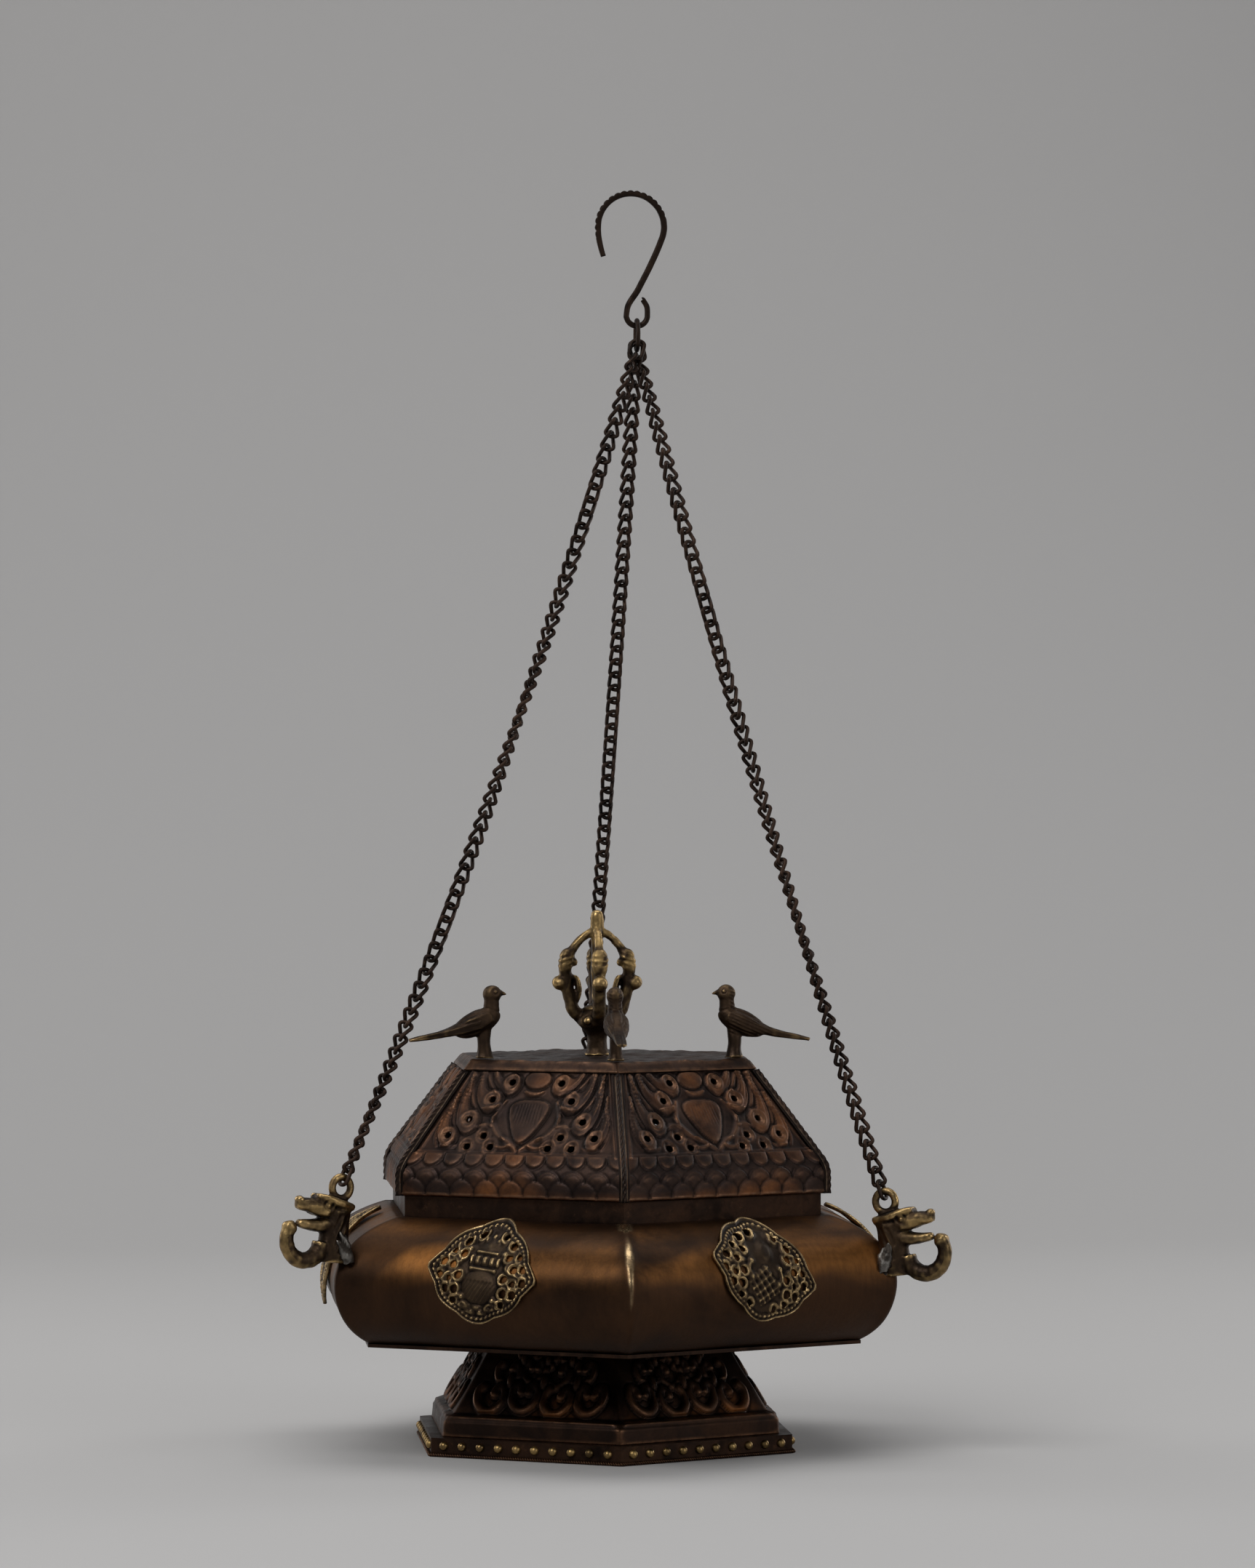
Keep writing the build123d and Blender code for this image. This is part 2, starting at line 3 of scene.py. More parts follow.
import bpy
import numpy as np
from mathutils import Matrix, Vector


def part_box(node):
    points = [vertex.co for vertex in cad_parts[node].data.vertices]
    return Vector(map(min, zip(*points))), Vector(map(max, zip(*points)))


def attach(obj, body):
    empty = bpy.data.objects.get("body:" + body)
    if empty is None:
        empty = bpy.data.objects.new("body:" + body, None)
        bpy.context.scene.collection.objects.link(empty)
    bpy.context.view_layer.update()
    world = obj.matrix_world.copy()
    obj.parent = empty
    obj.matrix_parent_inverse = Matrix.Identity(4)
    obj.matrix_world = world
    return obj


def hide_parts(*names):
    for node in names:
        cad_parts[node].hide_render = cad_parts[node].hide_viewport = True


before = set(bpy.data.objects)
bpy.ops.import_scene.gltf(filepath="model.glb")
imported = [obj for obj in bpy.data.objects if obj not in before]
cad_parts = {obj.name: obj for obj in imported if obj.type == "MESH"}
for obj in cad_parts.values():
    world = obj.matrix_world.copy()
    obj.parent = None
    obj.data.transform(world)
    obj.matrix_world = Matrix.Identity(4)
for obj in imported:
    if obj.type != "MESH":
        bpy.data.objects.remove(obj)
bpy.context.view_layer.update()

# Shapes are worked out about the bowl's axis, in millimetres with z up from the table, as in the CAD.
MM = 0.001
BAND_LOW, BAND_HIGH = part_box("foot_band")
AXIS = np.array([(BAND_LOW.x + BAND_HIGH.x) / 2, 0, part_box("foot_rope")[0].z])
SIDES = {"front_left": -120, "front_right": -60, "right": 0, "rear_right": 60, "rear_left": 120, "left": 180}
TAN30 = tan(pi / 6)


# ---- Mesh helpers ----
def turned(points, degrees):
    """Points turned about the bowl's axis."""
    c, s = cos(radians(degrees)), sin(radians(degrees))
    return np.asarray(points) @ np.array([[c, s, 0], [-s, c, 0], [0, 0, 1]])


def neighbour_mean(edges, count):
    """A function that gives each vertex the mean of its neighbours' values."""
    here = np.concatenate([edges[:, 0], edges[:, 1]])
    there = np.concatenate([edges[:, 1], edges[:, 0]])
    degree = np.maximum(np.bincount(here, minlength=count), 1)[:, None]

    def mean(values):
        return np.stack([np.bincount(here, v[there], count) for v in values.T], 1) / degree

    return mean


def read(collection, key, width, kind=float):
    values = np.zeros(len(collection) * width, kind)
    collection.foreach_get(key, values)
    return values.reshape(-1, width) if width > 1 else values


def mark_wear_and_shading(mesh, rounds, reach):
    """Stores how far each vertex stands out of the surface about it: 0 hollow, 0.5 flat, 1 crest."""
    places = read(mesh.vertices, "co", 3) / MM
    normals = read(mesh.vertex_normals, "vector", 3)
    mean = neighbour_mean(read(mesh.edges, "vertices", 2, np.int32), len(places))
    soft = places
    for _ in range(rounds):
        soft = mean(soft)
    crest = ((places - soft) * normals).sum(1, keepdims=True)
    crest = mean(crest)[:, 0]
    store(mesh, "wear_and_shading", np.clip(0.5 + crest / (2 * reach), 0, 1))


def store(mesh, name, values):
    mesh.attributes.new(name, "FLOAT", "POINT").data.foreach_set("value", np.asarray(values, np.float32))


def piece(name, points, faces, body, material, slot, replaces=(), wear_and_shading=(10, 0.3), **attributes):
    """A finished piece from points in mm about the bowl's axis."""
    mesh = bpy.data.meshes.new(name)
    faces = faces.tolist() if isinstance(faces, np.ndarray) else faces
    mesh.from_pydata((np.asarray(points) * MM + AXIS).tolist(), [], faces)
    mesh.validate()
    mesh.polygons.foreach_set("use_smooth", [True] * len(mesh.polygons))
    mesh.update()
    made = bpy.data.objects.new(name, mesh)
    bpy.context.scene.collection.objects.link(made)
    if isinstance(wear_and_shading, tuple):
        mark_wear_and_shading(mesh, *wear_and_shading)
    else:
        store(mesh, "wear_and_shading", wear_and_shading)
    for key, values in attributes.items():
        store(mesh, key, values)
    mesh.materials.append(material)
    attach(made, body)
    if replaces:
        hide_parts(*replaces)
    return made


def shell(outer, inner, keep=None, wrap=False):
    """A closed skin between two matching grids of points. keep marks the cells that have metal in them."""
    rows, cols = outer.shape[:2]
    count = rows * cols
    index = np.arange(count).reshape(rows, cols)
    if wrap:
        index = np.hstack([index, index[:, :1]])
    cells = np.stack([index[:-1, :-1], index[:-1, 1:], index[1:, 1:], index[1:, :-1]], -1)
    cells = cells[keep] if keep is not None else cells.reshape(-1, 4)
    edges = np.stack([cells, np.roll(cells, -1, 1)], -1).reshape(-1, 2)
    reverse = edges[:, 1] * count + edges[:, 0]
    border = edges[~np.isin(edges[:, 0] * count + edges[:, 1], reverse)]
    wall = np.stack([border[:, 1], border[:, 0], border[:, 0] + count, border[:, 1] + count], -1)
    faces = np.vstack([cells, cells[:, ::-1] + count, wall])
    points = np.vstack([outer.reshape(-1, 3), inner.reshape(-1, 3)])
    used, faces = np.unique(faces, return_inverse=True)
    return points[used], faces.reshape(-1, 4), used


def stations(corners, step):
    """Points along straight runs, about a step apart."""
    corners = np.asarray(corners, float)
    runs = [np.linspace(a, b, max(2, int(np.linalg.norm(b - a) / step)), endpoint=False)
            for a, b in zip(corners, corners[1:])]
    return np.vstack([*runs, corners[-1:]])


def normals_of(profile):
    """Outward normals of a half profile that runs upwards."""
    run = np.gradient(profile, axis=0)
    run /= np.linalg.norm(run, axis=1, keepdims=True)
    return np.stack([run[:, 1], -run[:, 0]], 1)


def hex_ring(outer, inner, per_side, relief, softness=0):
    """A hexagonal shell from two half profiles of (flat distance, z), with relief on its outside."""
    u = np.linspace(-1, 1, per_side, endpoint=False)
    outward = normals_of(outer)
    out_sides, in_sides, heights = [], [], []
    for number, degrees in enumerate(SIDES_ROUND):
        flat, z = outer[:, :1], outer[:, 1:]
        across = u[None] * flat * TAN30
        height = relief(across, z + 0 * across, u[None] + 0 * across, number)
        heights.append(height)
        flat_out, z_out = flat + outward[:, :1] * height, z + outward[:, 1:] * height
        out_sides.append(side_points(flat_out, z_out, u, degrees, softness))
        in_sides.append(side_points(inner[:, :1] + 0 * across, inner[:, 1:] + 0 * across, u, degrees, softness))
    points, faces, used = shell(np.concatenate(out_sides, 1), np.concatenate(in_sides, 1), wrap=True)
    height = np.concatenate(heights, 1).ravel()
    return points, faces, np.concatenate([height, height])[used]


SIDES_ROUND = (0, 60, 120, 180, 240, 300)


def side_points(flat, z, u, degrees, softness):
    """Points on one side of the hexagon, its corners rounded off by softness."""
    bearing = np.arctan(u * TAN30)
    if softness:
        ratio = np.cos(pi / 3 - np.abs(bearing)) / np.cos(bearing)
        flat = flat / (1 + ratio**softness) ** (1 / softness)
    return turned(np.stack([flat + 0 * u, flat * u * TAN30, z + 0 * u], -1), degrees)


def catmull(points, steps):
    """A smooth line through the rows of points, each with any numbers that go with it."""
    p = np.asarray(points, float)
    p = np.vstack([2 * p[0] - p[1], p, 2 * p[-1] - p[-2]])
    t = np.linspace(0, 1, steps, endpoint=False)[:, None]
    runs = []
    for a, b, c, d in zip(p, p[1:], p[2:], p[3:]):
        runs.append(0.5 * (2 * b + (c - a) * t + (2 * a - 5 * b + 4 * c - d) * t**2 + (3 * b - a - 3 * c + d) * t**3))
    return np.vstack([*runs, p[-2:-1]])


def loft(centres, wides, ups, around=20, square=1.0):
    """A closed skin through ellipses, from their centres and half axes. square below 1 makes them boxy."""
    turn = np.arange(around) * 2 * pi / around
    c, s = np.cos(turn), np.sin(turn)
    c, s = np.sign(c) * np.abs(c) ** square, np.sign(s) * np.abs(s) ** square
    rings = centres[:, None] + wides[:, None] * c[None, :, None] + ups[:, None] * s[None, :, None]
    count = len(centres)
    points = np.vstack([rings.reshape(-1, 3), centres[:1], centres[-1:]])
    grid = np.arange(count * around).reshape(count, around)
    after = np.roll(grid, -1, 1)
    faces = np.stack([grid[:-1], after[:-1], after[1:], grid[1:]], -1).reshape(-1, 4).tolist()
    faces += [[count * around, b, a] for a, b in zip(grid[0].tolist(), after[0].tolist())]
    faces += [[count * around + 1, a, b] for a, b in zip(grid[-1].tolist(), after[-1].tolist())]
    return points, faces


def tube(rows, steps=6, around=20, side=(0, 1, 0), square=1.0):
    """A rounded bar. Each row is x, y, z, the half size along side and the half size across it."""
    line = catmull(rows, steps)
    centres, half = line[:, :3], line[:, 3:]
    run = np.gradient(centres, axis=0)
    run /= np.linalg.norm(run, axis=1, keepdims=True)
    side = np.asarray(side, float) - run * (run @ np.asarray(side, float))[:, None]
    side /= np.linalg.norm(side, axis=1, keepdims=True)
    return loft(centres, side * half[:, :1], np.cross(run, side) * half[:, 1:2], around, square)


def ball(centre, sizes, tilt=0):
    """An ellipsoid, tilted in the XZ plane."""
    turn = np.linspace(0.02, pi - 0.02, 18)
    along = np.array([cos(radians(tilt)), 0, sin(radians(tilt))])
    across = np.array([-along[2], 0, along[0]])
    centres = np.asarray(centre, float) - np.cos(turn)[:, None] * along * sizes[0]
    size = np.sin(turn)[:, None]
    return loft(centres, size * np.array([0, sizes[1], 0]), size * across * sizes[2], 24)


def bar(x, y, z, r):
    """One row of a tube with a round section."""
    return (x, y, z, r, r)


def cast(parts, voxel=0.42, rounds=2):
    """Melts overlapping skins into one casting, and softens it."""
    points, faces, start = [], [], 0
    for some, quads in parts:
        points.append(some)
        faces += [[i + start for i in face] for face in quads]
        start += len(some)
    mesh = bpy.data.meshes.new("melt")
    mesh.from_pydata(np.vstack(points).tolist(), [], faces)
    melt = bpy.data.objects.new("melt", mesh)
    bpy.context.scene.collection.objects.link(melt)
    remesh = melt.modifiers.new("voxels", "REMESH")
    remesh.mode, remesh.voxel_size = "VOXEL", voxel
    done = bpy.data.meshes.new_from_object(melt.evaluated_get(bpy.context.evaluated_depsgraph_get()))
    places = read(done.vertices, "co", 3)
    edges = read(done.edges, "vertices", 2, np.int32)
    quads = [list(p.vertices) for p in done.polygons]
    mean = neighbour_mean(edges, len(places))
    for _ in range(rounds):
        places = places + 0.6 * (mean(places) - places)
    normals = read(done.vertex_normals, "vector", 3)
    bpy.data.objects.remove(melt)
    bpy.data.meshes.remove(mesh)
    bpy.data.meshes.remove(done)
    return places, quads, normals


def lumps(points, size, amount, seed=0):
    """Smooth unevenness, worth up to about the amount, from a few crossing waves."""
    waves = np.random.default_rng(seed).normal(size=(7, 4))
    total = 0
    for wave in waves:
        total = total + np.sin(points @ wave[:3] * (2.2 / size) + wave[3] * 9)
    return total * amount / 7


# ---- Relief drawing: functions over across and up, in mm ----
def near(x, y, path, widths):
    """Least distance to a drawn line, in units of the line's own half width there."""
    least = np.full(x.shape, 9.0)
    for (px, py), width in zip(path, widths):
        least = np.minimum(least, np.hypot(x - px, y - py) / width)
    return least


def curve(*points, steps=8):
    return catmull(points, steps)


def ridge(x, y, path, width, height):
    """A raised line, rounded across and tapered at both ends."""
    taper = 0.35 + 0.65 * np.sin(np.linspace(0.1, pi - 0.1, len(path)))
    r = near(x, y, path, width * taper)
    return height * np.exp(-(r**2) * 1.6)


def dome(r, height):
    return height * np.sqrt(np.clip(1 - r**2, 0, 1))


def trench(r, at, width, depth):
    return -depth * np.exp(-(((r - at) / width) ** 2))


def over(field, r, height, floor=0.0, cut=0.35):
    """Lays a domed shape with a cut line round it over what is drawn so far."""
    lifted = floor + dome(r, height)
    return np.where(r < 1, lifted, field + trench(r, 1.05, 0.16, cut))


# ---- Materials ----
def node(tree, kind, inputs=None, **settings):
    made = tree.nodes.new(kind)
    for key, value in settings.items():
        setattr(made, key, value)
    for key, value in (inputs or {}).items():
        if isinstance(value, bpy.types.NodeSocket):
            tree.links.new(value, made.inputs[key])
        else:
            made.inputs[key].default_value = value
    return made


def metal(name, dark, base, bright, rough=(0.5, 0.3), crest=(0.56, 0.8), patch=60, stretch=(1, 1, 1), rub_and_sheen_level=1.0,
          bump=0.25, relief=True, grime_and_shade=(0.01, 0.0075, 0.0065), glow=None, dirt_and_shade=1.0):
    """Aged metal: cloudy oxide, rubbed bright on its crests, near black in its hollows from dark patina and painted
    shade, with a warm colour for painted highlights mixed in where a per-vertex attribute says.
    """
    material = bpy.data.materials.new(name)
    material.use_nodes = True
    tree = material.node_tree
    shader = tree.nodes["Principled BSDF"]
    shader.inputs["Metallic"].default_value = 1.0
    shader.inputs["IOR"].default_value = 1.5
    place = node(tree, "ShaderNodeTexCoord").outputs["Object"]

    def noise(scale, detail=5.0, rough_at=0.6, vector=place, twist=0.0):
        return node(tree, "ShaderNodeTexNoise", {"Vector": vector, "Scale": scale, "Detail": detail,
                                                 "Roughness": rough_at, "Distortion": twist}).outputs["Fac"]

    def spread(value, low, high, to_low=0.0, to_high=1.0):
        return node(tree, "ShaderNodeMapRange", {0: value, 1: low, 2: high, 3: to_low, 4: to_high},
                    interpolation_type="SMOOTHSTEP").outputs[0]

    def times(a, b, how="MULTIPLY"):
        return node(tree, "ShaderNodeMath", {0: a, 1: b}, operation=how, use_clamp=True).outputs[0]

    def mix(factor, a, b):
        made = node(tree, "ShaderNodeMix", {0: factor}, data_type="RGBA")
        for socket, colour in ((made.inputs[6], a), (made.inputs[7], b)):
            if isinstance(colour, bpy.types.NodeSocket):
                tree.links.new(colour, socket)
            else:
                socket.default_value = (*colour, 1)
        return made.outputs[2]

    cloud = noise(patch, 6.0, 0.62, twist=0.6)
    streaks = node(tree, "ShaderNodeMapping", {"Vector": place, "Scale": stretch}).outputs["Vector"]
    brushed = noise(700, 4.0, 0.55, streaks)
    speck = noise(1500, 3.0, 0.6)
    body = mix(spread(cloud, 0.36, 0.66), dark, base)
    # Painted highlight: a per-vertex attribute mixes in a lighter, warmer colour; on the castings it marks rubbed
    # brass together with painted highlight.
    if glow:
        sheen_and_rub_mask = node(tree, "ShaderNodeAttribute", attribute_name="glow").outputs["Fac"]
        body = mix(times(sheen_and_rub_mask, spread(cloud, 0.34, 0.62, 0.3, 1.0)), body, glow)
    if relief:
        wear_and_shading = node(tree, "ShaderNodeAttribute", attribute_name="wear_and_shading").outputs["Fac"]
        # Crests rubbed bright; on the bowl this attribute instead carries a painted highlight down its ridges.
        worn_and_sheen = times(spread(wear_and_shading, *crest), spread(noise(260, 4.0), 0.32, 0.6, 0.25, 1.0))
        # Hollows darken to a near-black colour: partly dark patina, partly painted shade.
        hollow = spread(wear_and_shading, 0.46, 0.14, 0.0, dirt_and_shade)
    else:
        worn_and_sheen = spread(noise(180, 6.0, 0.7), 0.56, 0.72)
        hollow = spread(noise(110, 5.0), 0.5, 0.3, 0.0, 0.8)
    worn_and_sheen = times(worn_and_sheen, rub_and_sheen_level)
    colour = mix(hollow, mix(worn_and_sheen, body, bright), grime_and_shade)
    colour = mix(spread(brushed, 0.35, 0.7, 0.0, 0.25), colour, dark)
    tree.links.new(colour, shader.inputs["Base Color"])
    finish = node(tree, "ShaderNodeMath", {0: spread(worn_and_sheen, 0.0, 1.0, *rough),
                                           1: spread(cloud, 0.3, 0.7, -0.07, 0.09)}, operation="ADD").outputs[0]
    finish = node(tree, "ShaderNodeMath", {0: finish, 1: spread(speck, 0.3, 0.7, -0.04, 0.06)},
                  operation="ADD", use_clamp=True).outputs[0]
    tree.links.new(finish, shader.inputs["Roughness"])
    height = node(tree, "ShaderNodeMath", {0: times(brushed, 0.6), 1: times(speck, 0.4)}, operation="ADD").outputs[0]
    tree.links.new(node(tree, "ShaderNodeBump", {"Height": height, "Strength": bump, "Distance": 0.0003})
                   .outputs["Normal"], shader.inputs["Normal"])
    return material


# Of the colours below, the extra warm one of the lid, foot and bowl paints highlights, and that of the castings
# paints rubbed brass together with highlights; the bowl's bright colour paints the highlight down its front ridge.
LID_METAL = metal("lid_copper", (0.026, 0.018, 0.016), (0.055, 0.034, 0.026), (0.17, 0.09, 0.052), rough=(0.47, 0.36),
                  crest=(0.56, 1.05), rub_and_sheen_level=0.85, glow=(0.2, 0.078, 0.03), dirt_and_shade=0.75)
FOOT_METAL = metal("foot_copper", (0.022, 0.014, 0.011), (0.046, 0.024, 0.015), (0.17, 0.085, 0.045),
                   rough=(0.45, 0.34), crest=(0.6, 1.1), rub_and_sheen_level=0.8, glow=(0.17, 0.062, 0.018), dirt_and_shade=0.8)
BOWL_METAL = metal("bowl_copper", (0.03, 0.017, 0.011), (0.06, 0.03, 0.016), (0.62, 0.44, 0.24), rough=(0.43, 0.27),
                   crest=(0.55, 0.95), patch=22, stretch=(1, 1, 0.05), bump=0.1, glow=(0.3, 0.125, 0.034), dirt_and_shade=0.0)
SEAM_METAL = metal("seam_strip", (0.026, 0.018, 0.015), (0.058, 0.036, 0.026), (0.3, 0.21, 0.14), rough=(0.45, 0.32),
                   crest=(0.58, 1.0), rub_and_sheen_level=0.8, dirt_and_shade=0.8)
CAST_METAL = metal("cast_brass", (0.03, 0.02, 0.014), (0.062, 0.039, 0.023), (0.55, 0.37, 0.16), rough=(0.46, 0.25),
                   crest=(0.62, 0.95), rub_and_sheen_level=0.9, bump=0.45, glow=(0.4, 0.27, 0.11))
BIRD_METAL = metal("bird_brass", (0.032, 0.021, 0.015), (0.066, 0.041, 0.025), (0.42, 0.28, 0.13), rough=(0.46, 0.28),
                   crest=(0.66, 1.05), rub_and_sheen_level=0.8, bump=0.4)
PLAQUE_METAL = metal("plaque_brass", (0.03, 0.02, 0.014), (0.062, 0.041, 0.025), (0.42, 0.29, 0.14),
                     rough=(0.48, 0.3), crest=(0.58, 0.95), bump=0.35)
HOOK_METAL = metal("hook_strip", (0.035, 0.024, 0.019), (0.07, 0.043, 0.029), (0.26, 0.16, 0.09), rough=(0.5, 0.36),
                   crest=(0.6, 1.0), rub_and_sheen_level=0.8)
CHAIN_METAL = metal("chain_metal", (0.03, 0.021, 0.017), (0.06, 0.037, 0.027), (0.14, 0.085, 0.055),
                    rough=(0.5, 0.38), relief=False, rub_and_sheen_level=0.5)
PLAIN_METAL = metal("plain_copper", (0.026, 0.016, 0.012), (0.055, 0.029, 0.018), (0.15, 0.075, 0.038),
                    rough=(0.44, 0.35), relief=False, rub_and_sheen_level=0.4)
BEAD_METAL = metal("bead_brass", (0.2, 0.13, 0.055), (0.42, 0.28, 0.11), (0.8, 0.58, 0.26), rough=(0.36, 0.22),
                   relief=False)
SOLDER_METAL = metal("solder", (0.03, 0.024, 0.02), (0.07, 0.06, 0.05), (0.36, 0.34, 0.31), rough=(0.52, 0.38),
                     crest=(0.72, 1.05), rub_and_sheen_level=0.7, bump=0.6)

# ---- Bowl ----
BOWL_FLAT, WIDEST_Z, BASE_Z, SHOULDER_Z = 96.1, 60.0, 40.0, 82.5
LOW_RADIUS, HIGH_RADIUS, BELLY_TURN = 22.0, 19.75, 49.4
SHEET = 1.2
COLLAR_FLAT = 71.6


def bowl_profile(inset):
    """Half profile of the bowl from its base to its shoulder, moved in by inset."""
    low, high = LOW_RADIUS - inset, HIGH_RADIUS - inset
    start = -np.arcsin((WIDEST_Z - BASE_Z - inset) / low)
    turn = np.linspace(start, 0, 36, endpoint=False)
    lower = np.stack([BOWL_FLAT - LOW_RADIUS + low * np.cos(turn), WIDEST_Z + low * np.sin(turn)], 1)
    turn = np.linspace(0, radians(BELLY_TURN), 24, endpoint=False)
    upper = np.stack([BOWL_FLAT - HIGH_RADIUS + high * np.cos(turn), WIDEST_Z + high * np.sin(turn)], 1)
    end = radians(BELLY_TURN)
    a = np.array([BOWL_FLAT - HIGH_RADIUS + high * cos(end), WIDEST_Z + high * sin(end)])
    c = np.array([74.5, SHOULDER_Z - inset])
    b = a + np.array([-sin(end), cos(end)]) * 0.42 * np.linalg.norm(c - a)
    t = np.linspace(0, 1, 18)[:, None]
    return np.vstack([lower, upper, a * (1 - t) ** 2 + 2 * b * t * (1 - t) + c * t**2,
                      [[COLLAR_FLAT + 0.1, SHOULDER_Z - inset + 0.1]]])


def bowl_relief(across, z, u, number):
    points = np.stack([across + number * 90, z, z * 0], -1)
    dents = lumps(points, 19, 0.34, 3) + lumps(points, 5, 0.03, 4)
    near_ridge = np.exp(-(((1 - np.abs(u)) * 48 / 2.2) ** 2))
    return dents + 0.3 * near_ridge


def bowl_finish(points):
    """Painted highlights on the bowl: a warm band round its upper belly and one under its shoulder, both weaker near
    the ridges, and a bright line with patches down the front ridge, with a weaker line on the other ridges.
    """
    x, y, z = points.T
    bearing = np.degrees(np.arctan2(y, x))
    from_ridge = np.radians(np.abs(bearing % 60 - 30)) * np.hypot(x, y)
    patches = 0.5 + 1.1 * lumps(np.stack([bearing * 0.9, z * 1.2, 0 * z], -1), 13, 3.4, 12)
    # Painted highlight: a warm band round the upper belly and a narrower one under the shoulder, broken into patches
    # and weaker near the ridges.
    glow = np.exp(-(((z - 71.5) / 7.5) ** 2)) * np.clip(patches, 0.12, 1)
    glow += 0.75 * np.exp(-(((z - 80.5) / 2.4) ** 2)) * np.clip(1.2 - patches, 0.3, 1)
    glow *= np.clip(0.35 + from_ridge / 9, 0, 1)
    # Painted highlight down the front ridge that faces the camera, with patches at mid height and by the shoulder;
    # the other ridges get 0.3 of the line.
    ridge_line_breakup = 0.5 + 2.2 * lumps(np.stack([z, bearing, 0 * z], -1), 7, 1.2, 14)
    front = np.abs(bearing + 90) < 20
    rub_and_sheen_level = np.exp(-((from_ridge / 0.75) ** 2)) * np.clip(ridge_line_breakup, 0.15, 1) * np.exp(-(((z - 69) / 11.5) ** 4))
    patch = np.exp(-((from_ridge / 1.3) ** 2) - ((z - 73) / 4.5) ** 2)
    patch += np.exp(-((from_ridge / 2.2) ** 2)) * (z > 80.8)
    return np.clip(glow, 0, 1), 0.5 + 0.5 * np.clip(rub_and_sheen_level * np.where(front, 1.0, 0.3) + patch * front, 0, 1)


points, faces, _ = hex_ring(bowl_profile(0), bowl_profile(SHEET), 150, bowl_relief, softness=190)
glow, rubbed_and_sheen = bowl_finish(points)
piece("bowl_body", points, faces, "censer", BOWL_METAL, "bowl_copper", ["bowl_wall"], wear_and_shading=rubbed_and_sheen, glow=glow)

# ---- Lid ----
RIM_FLAT, RIM_TOP_Z, LID_BOTTOM_Z = 73.6, 96.5, 90.0
SLOPE_START, SLOPE, PANEL_TOP_Z = (71.0, 103.0), 0.722, 134.8
LID_SHEET, SEAM_WIDTH = 1.0, 5.0
VENT_RADIUS = 1.3
VENTS = [(9.3, 128.2), (14.9, 122.4), (21.4, 115.7), (27.6, 110.4), (14.6, 110.8), (19.8, 107.2), (10.9, 107.2)]
LIP_BOTTOM_Z, PLATE_TOP_Z, LIP = 132.3, 136.0, 1.0
GRID = 0.42


def slope_flat(z):
    return SLOPE_START[0] + SLOPE * (SLOPE_START[1] - z)


def lid_profile(grow):
    """Half profile of the lid from its bottom edge to the top of its slope, moved out by grow."""
    lean = sqrt(1 + SLOPE**2)
    rim = np.array([RIM_FLAT + grow, RIM_TOP_Z])
    start = np.array([SLOPE_START[0] + grow * lean, SLOPE_START[1]])
    t = np.linspace(0, 1, 16, endpoint=False)[:, None]
    middle = np.array([RIM_FLAT + grow, 100.0 - 0.3])
    turn = rim * (1 - t) ** 2 + 2 * middle * t * (1 - t) + start * t**2
    straight = stations([start, (slope_flat(PANEL_TOP_Z) + grow * lean, PANEL_TOP_Z)], GRID)
    wall = stations([(RIM_FLAT + grow, LID_BOTTOM_Z), rim], GRID)[:-1]
    return np.vstack([wall, turn, straight])


def same_count(profile, count):
    """A profile with its points moved to be evenly spaced."""
    run = np.concatenate([[0], np.cumsum(np.linalg.norm(np.diff(profile, axis=0), axis=1))])
    even = np.linspace(0, run[-1], count)
    return np.stack([np.interp(even, run, profile[:, k]) for k in range(2)], 1)


FEATHERS = [  # start, bend and round end, and the end's half width
    ((16.6, 132.8), (15.4, 126.6), (9.6, 127.6), 3.7),
    ((20.8, 132.4), (21.6, 122.8), (15.2, 121.8), 4.0),
    ((24.2, 130.6), (27.2, 116.8), (21.6, 115.2), 4.1),
    ((28.2, 123.6), (32.4, 111.6), (27.6, 109.9), 3.4),
]


def bow(a, b, c, steps=16):
    t = np.linspace(0, 1, steps)[:, None]
    a, b, c = (np.asarray(p, float) for p in (a, b, c))
    return a * (1 - t) ** 2 + 2 * b * t * (1 - t) + c * t**2


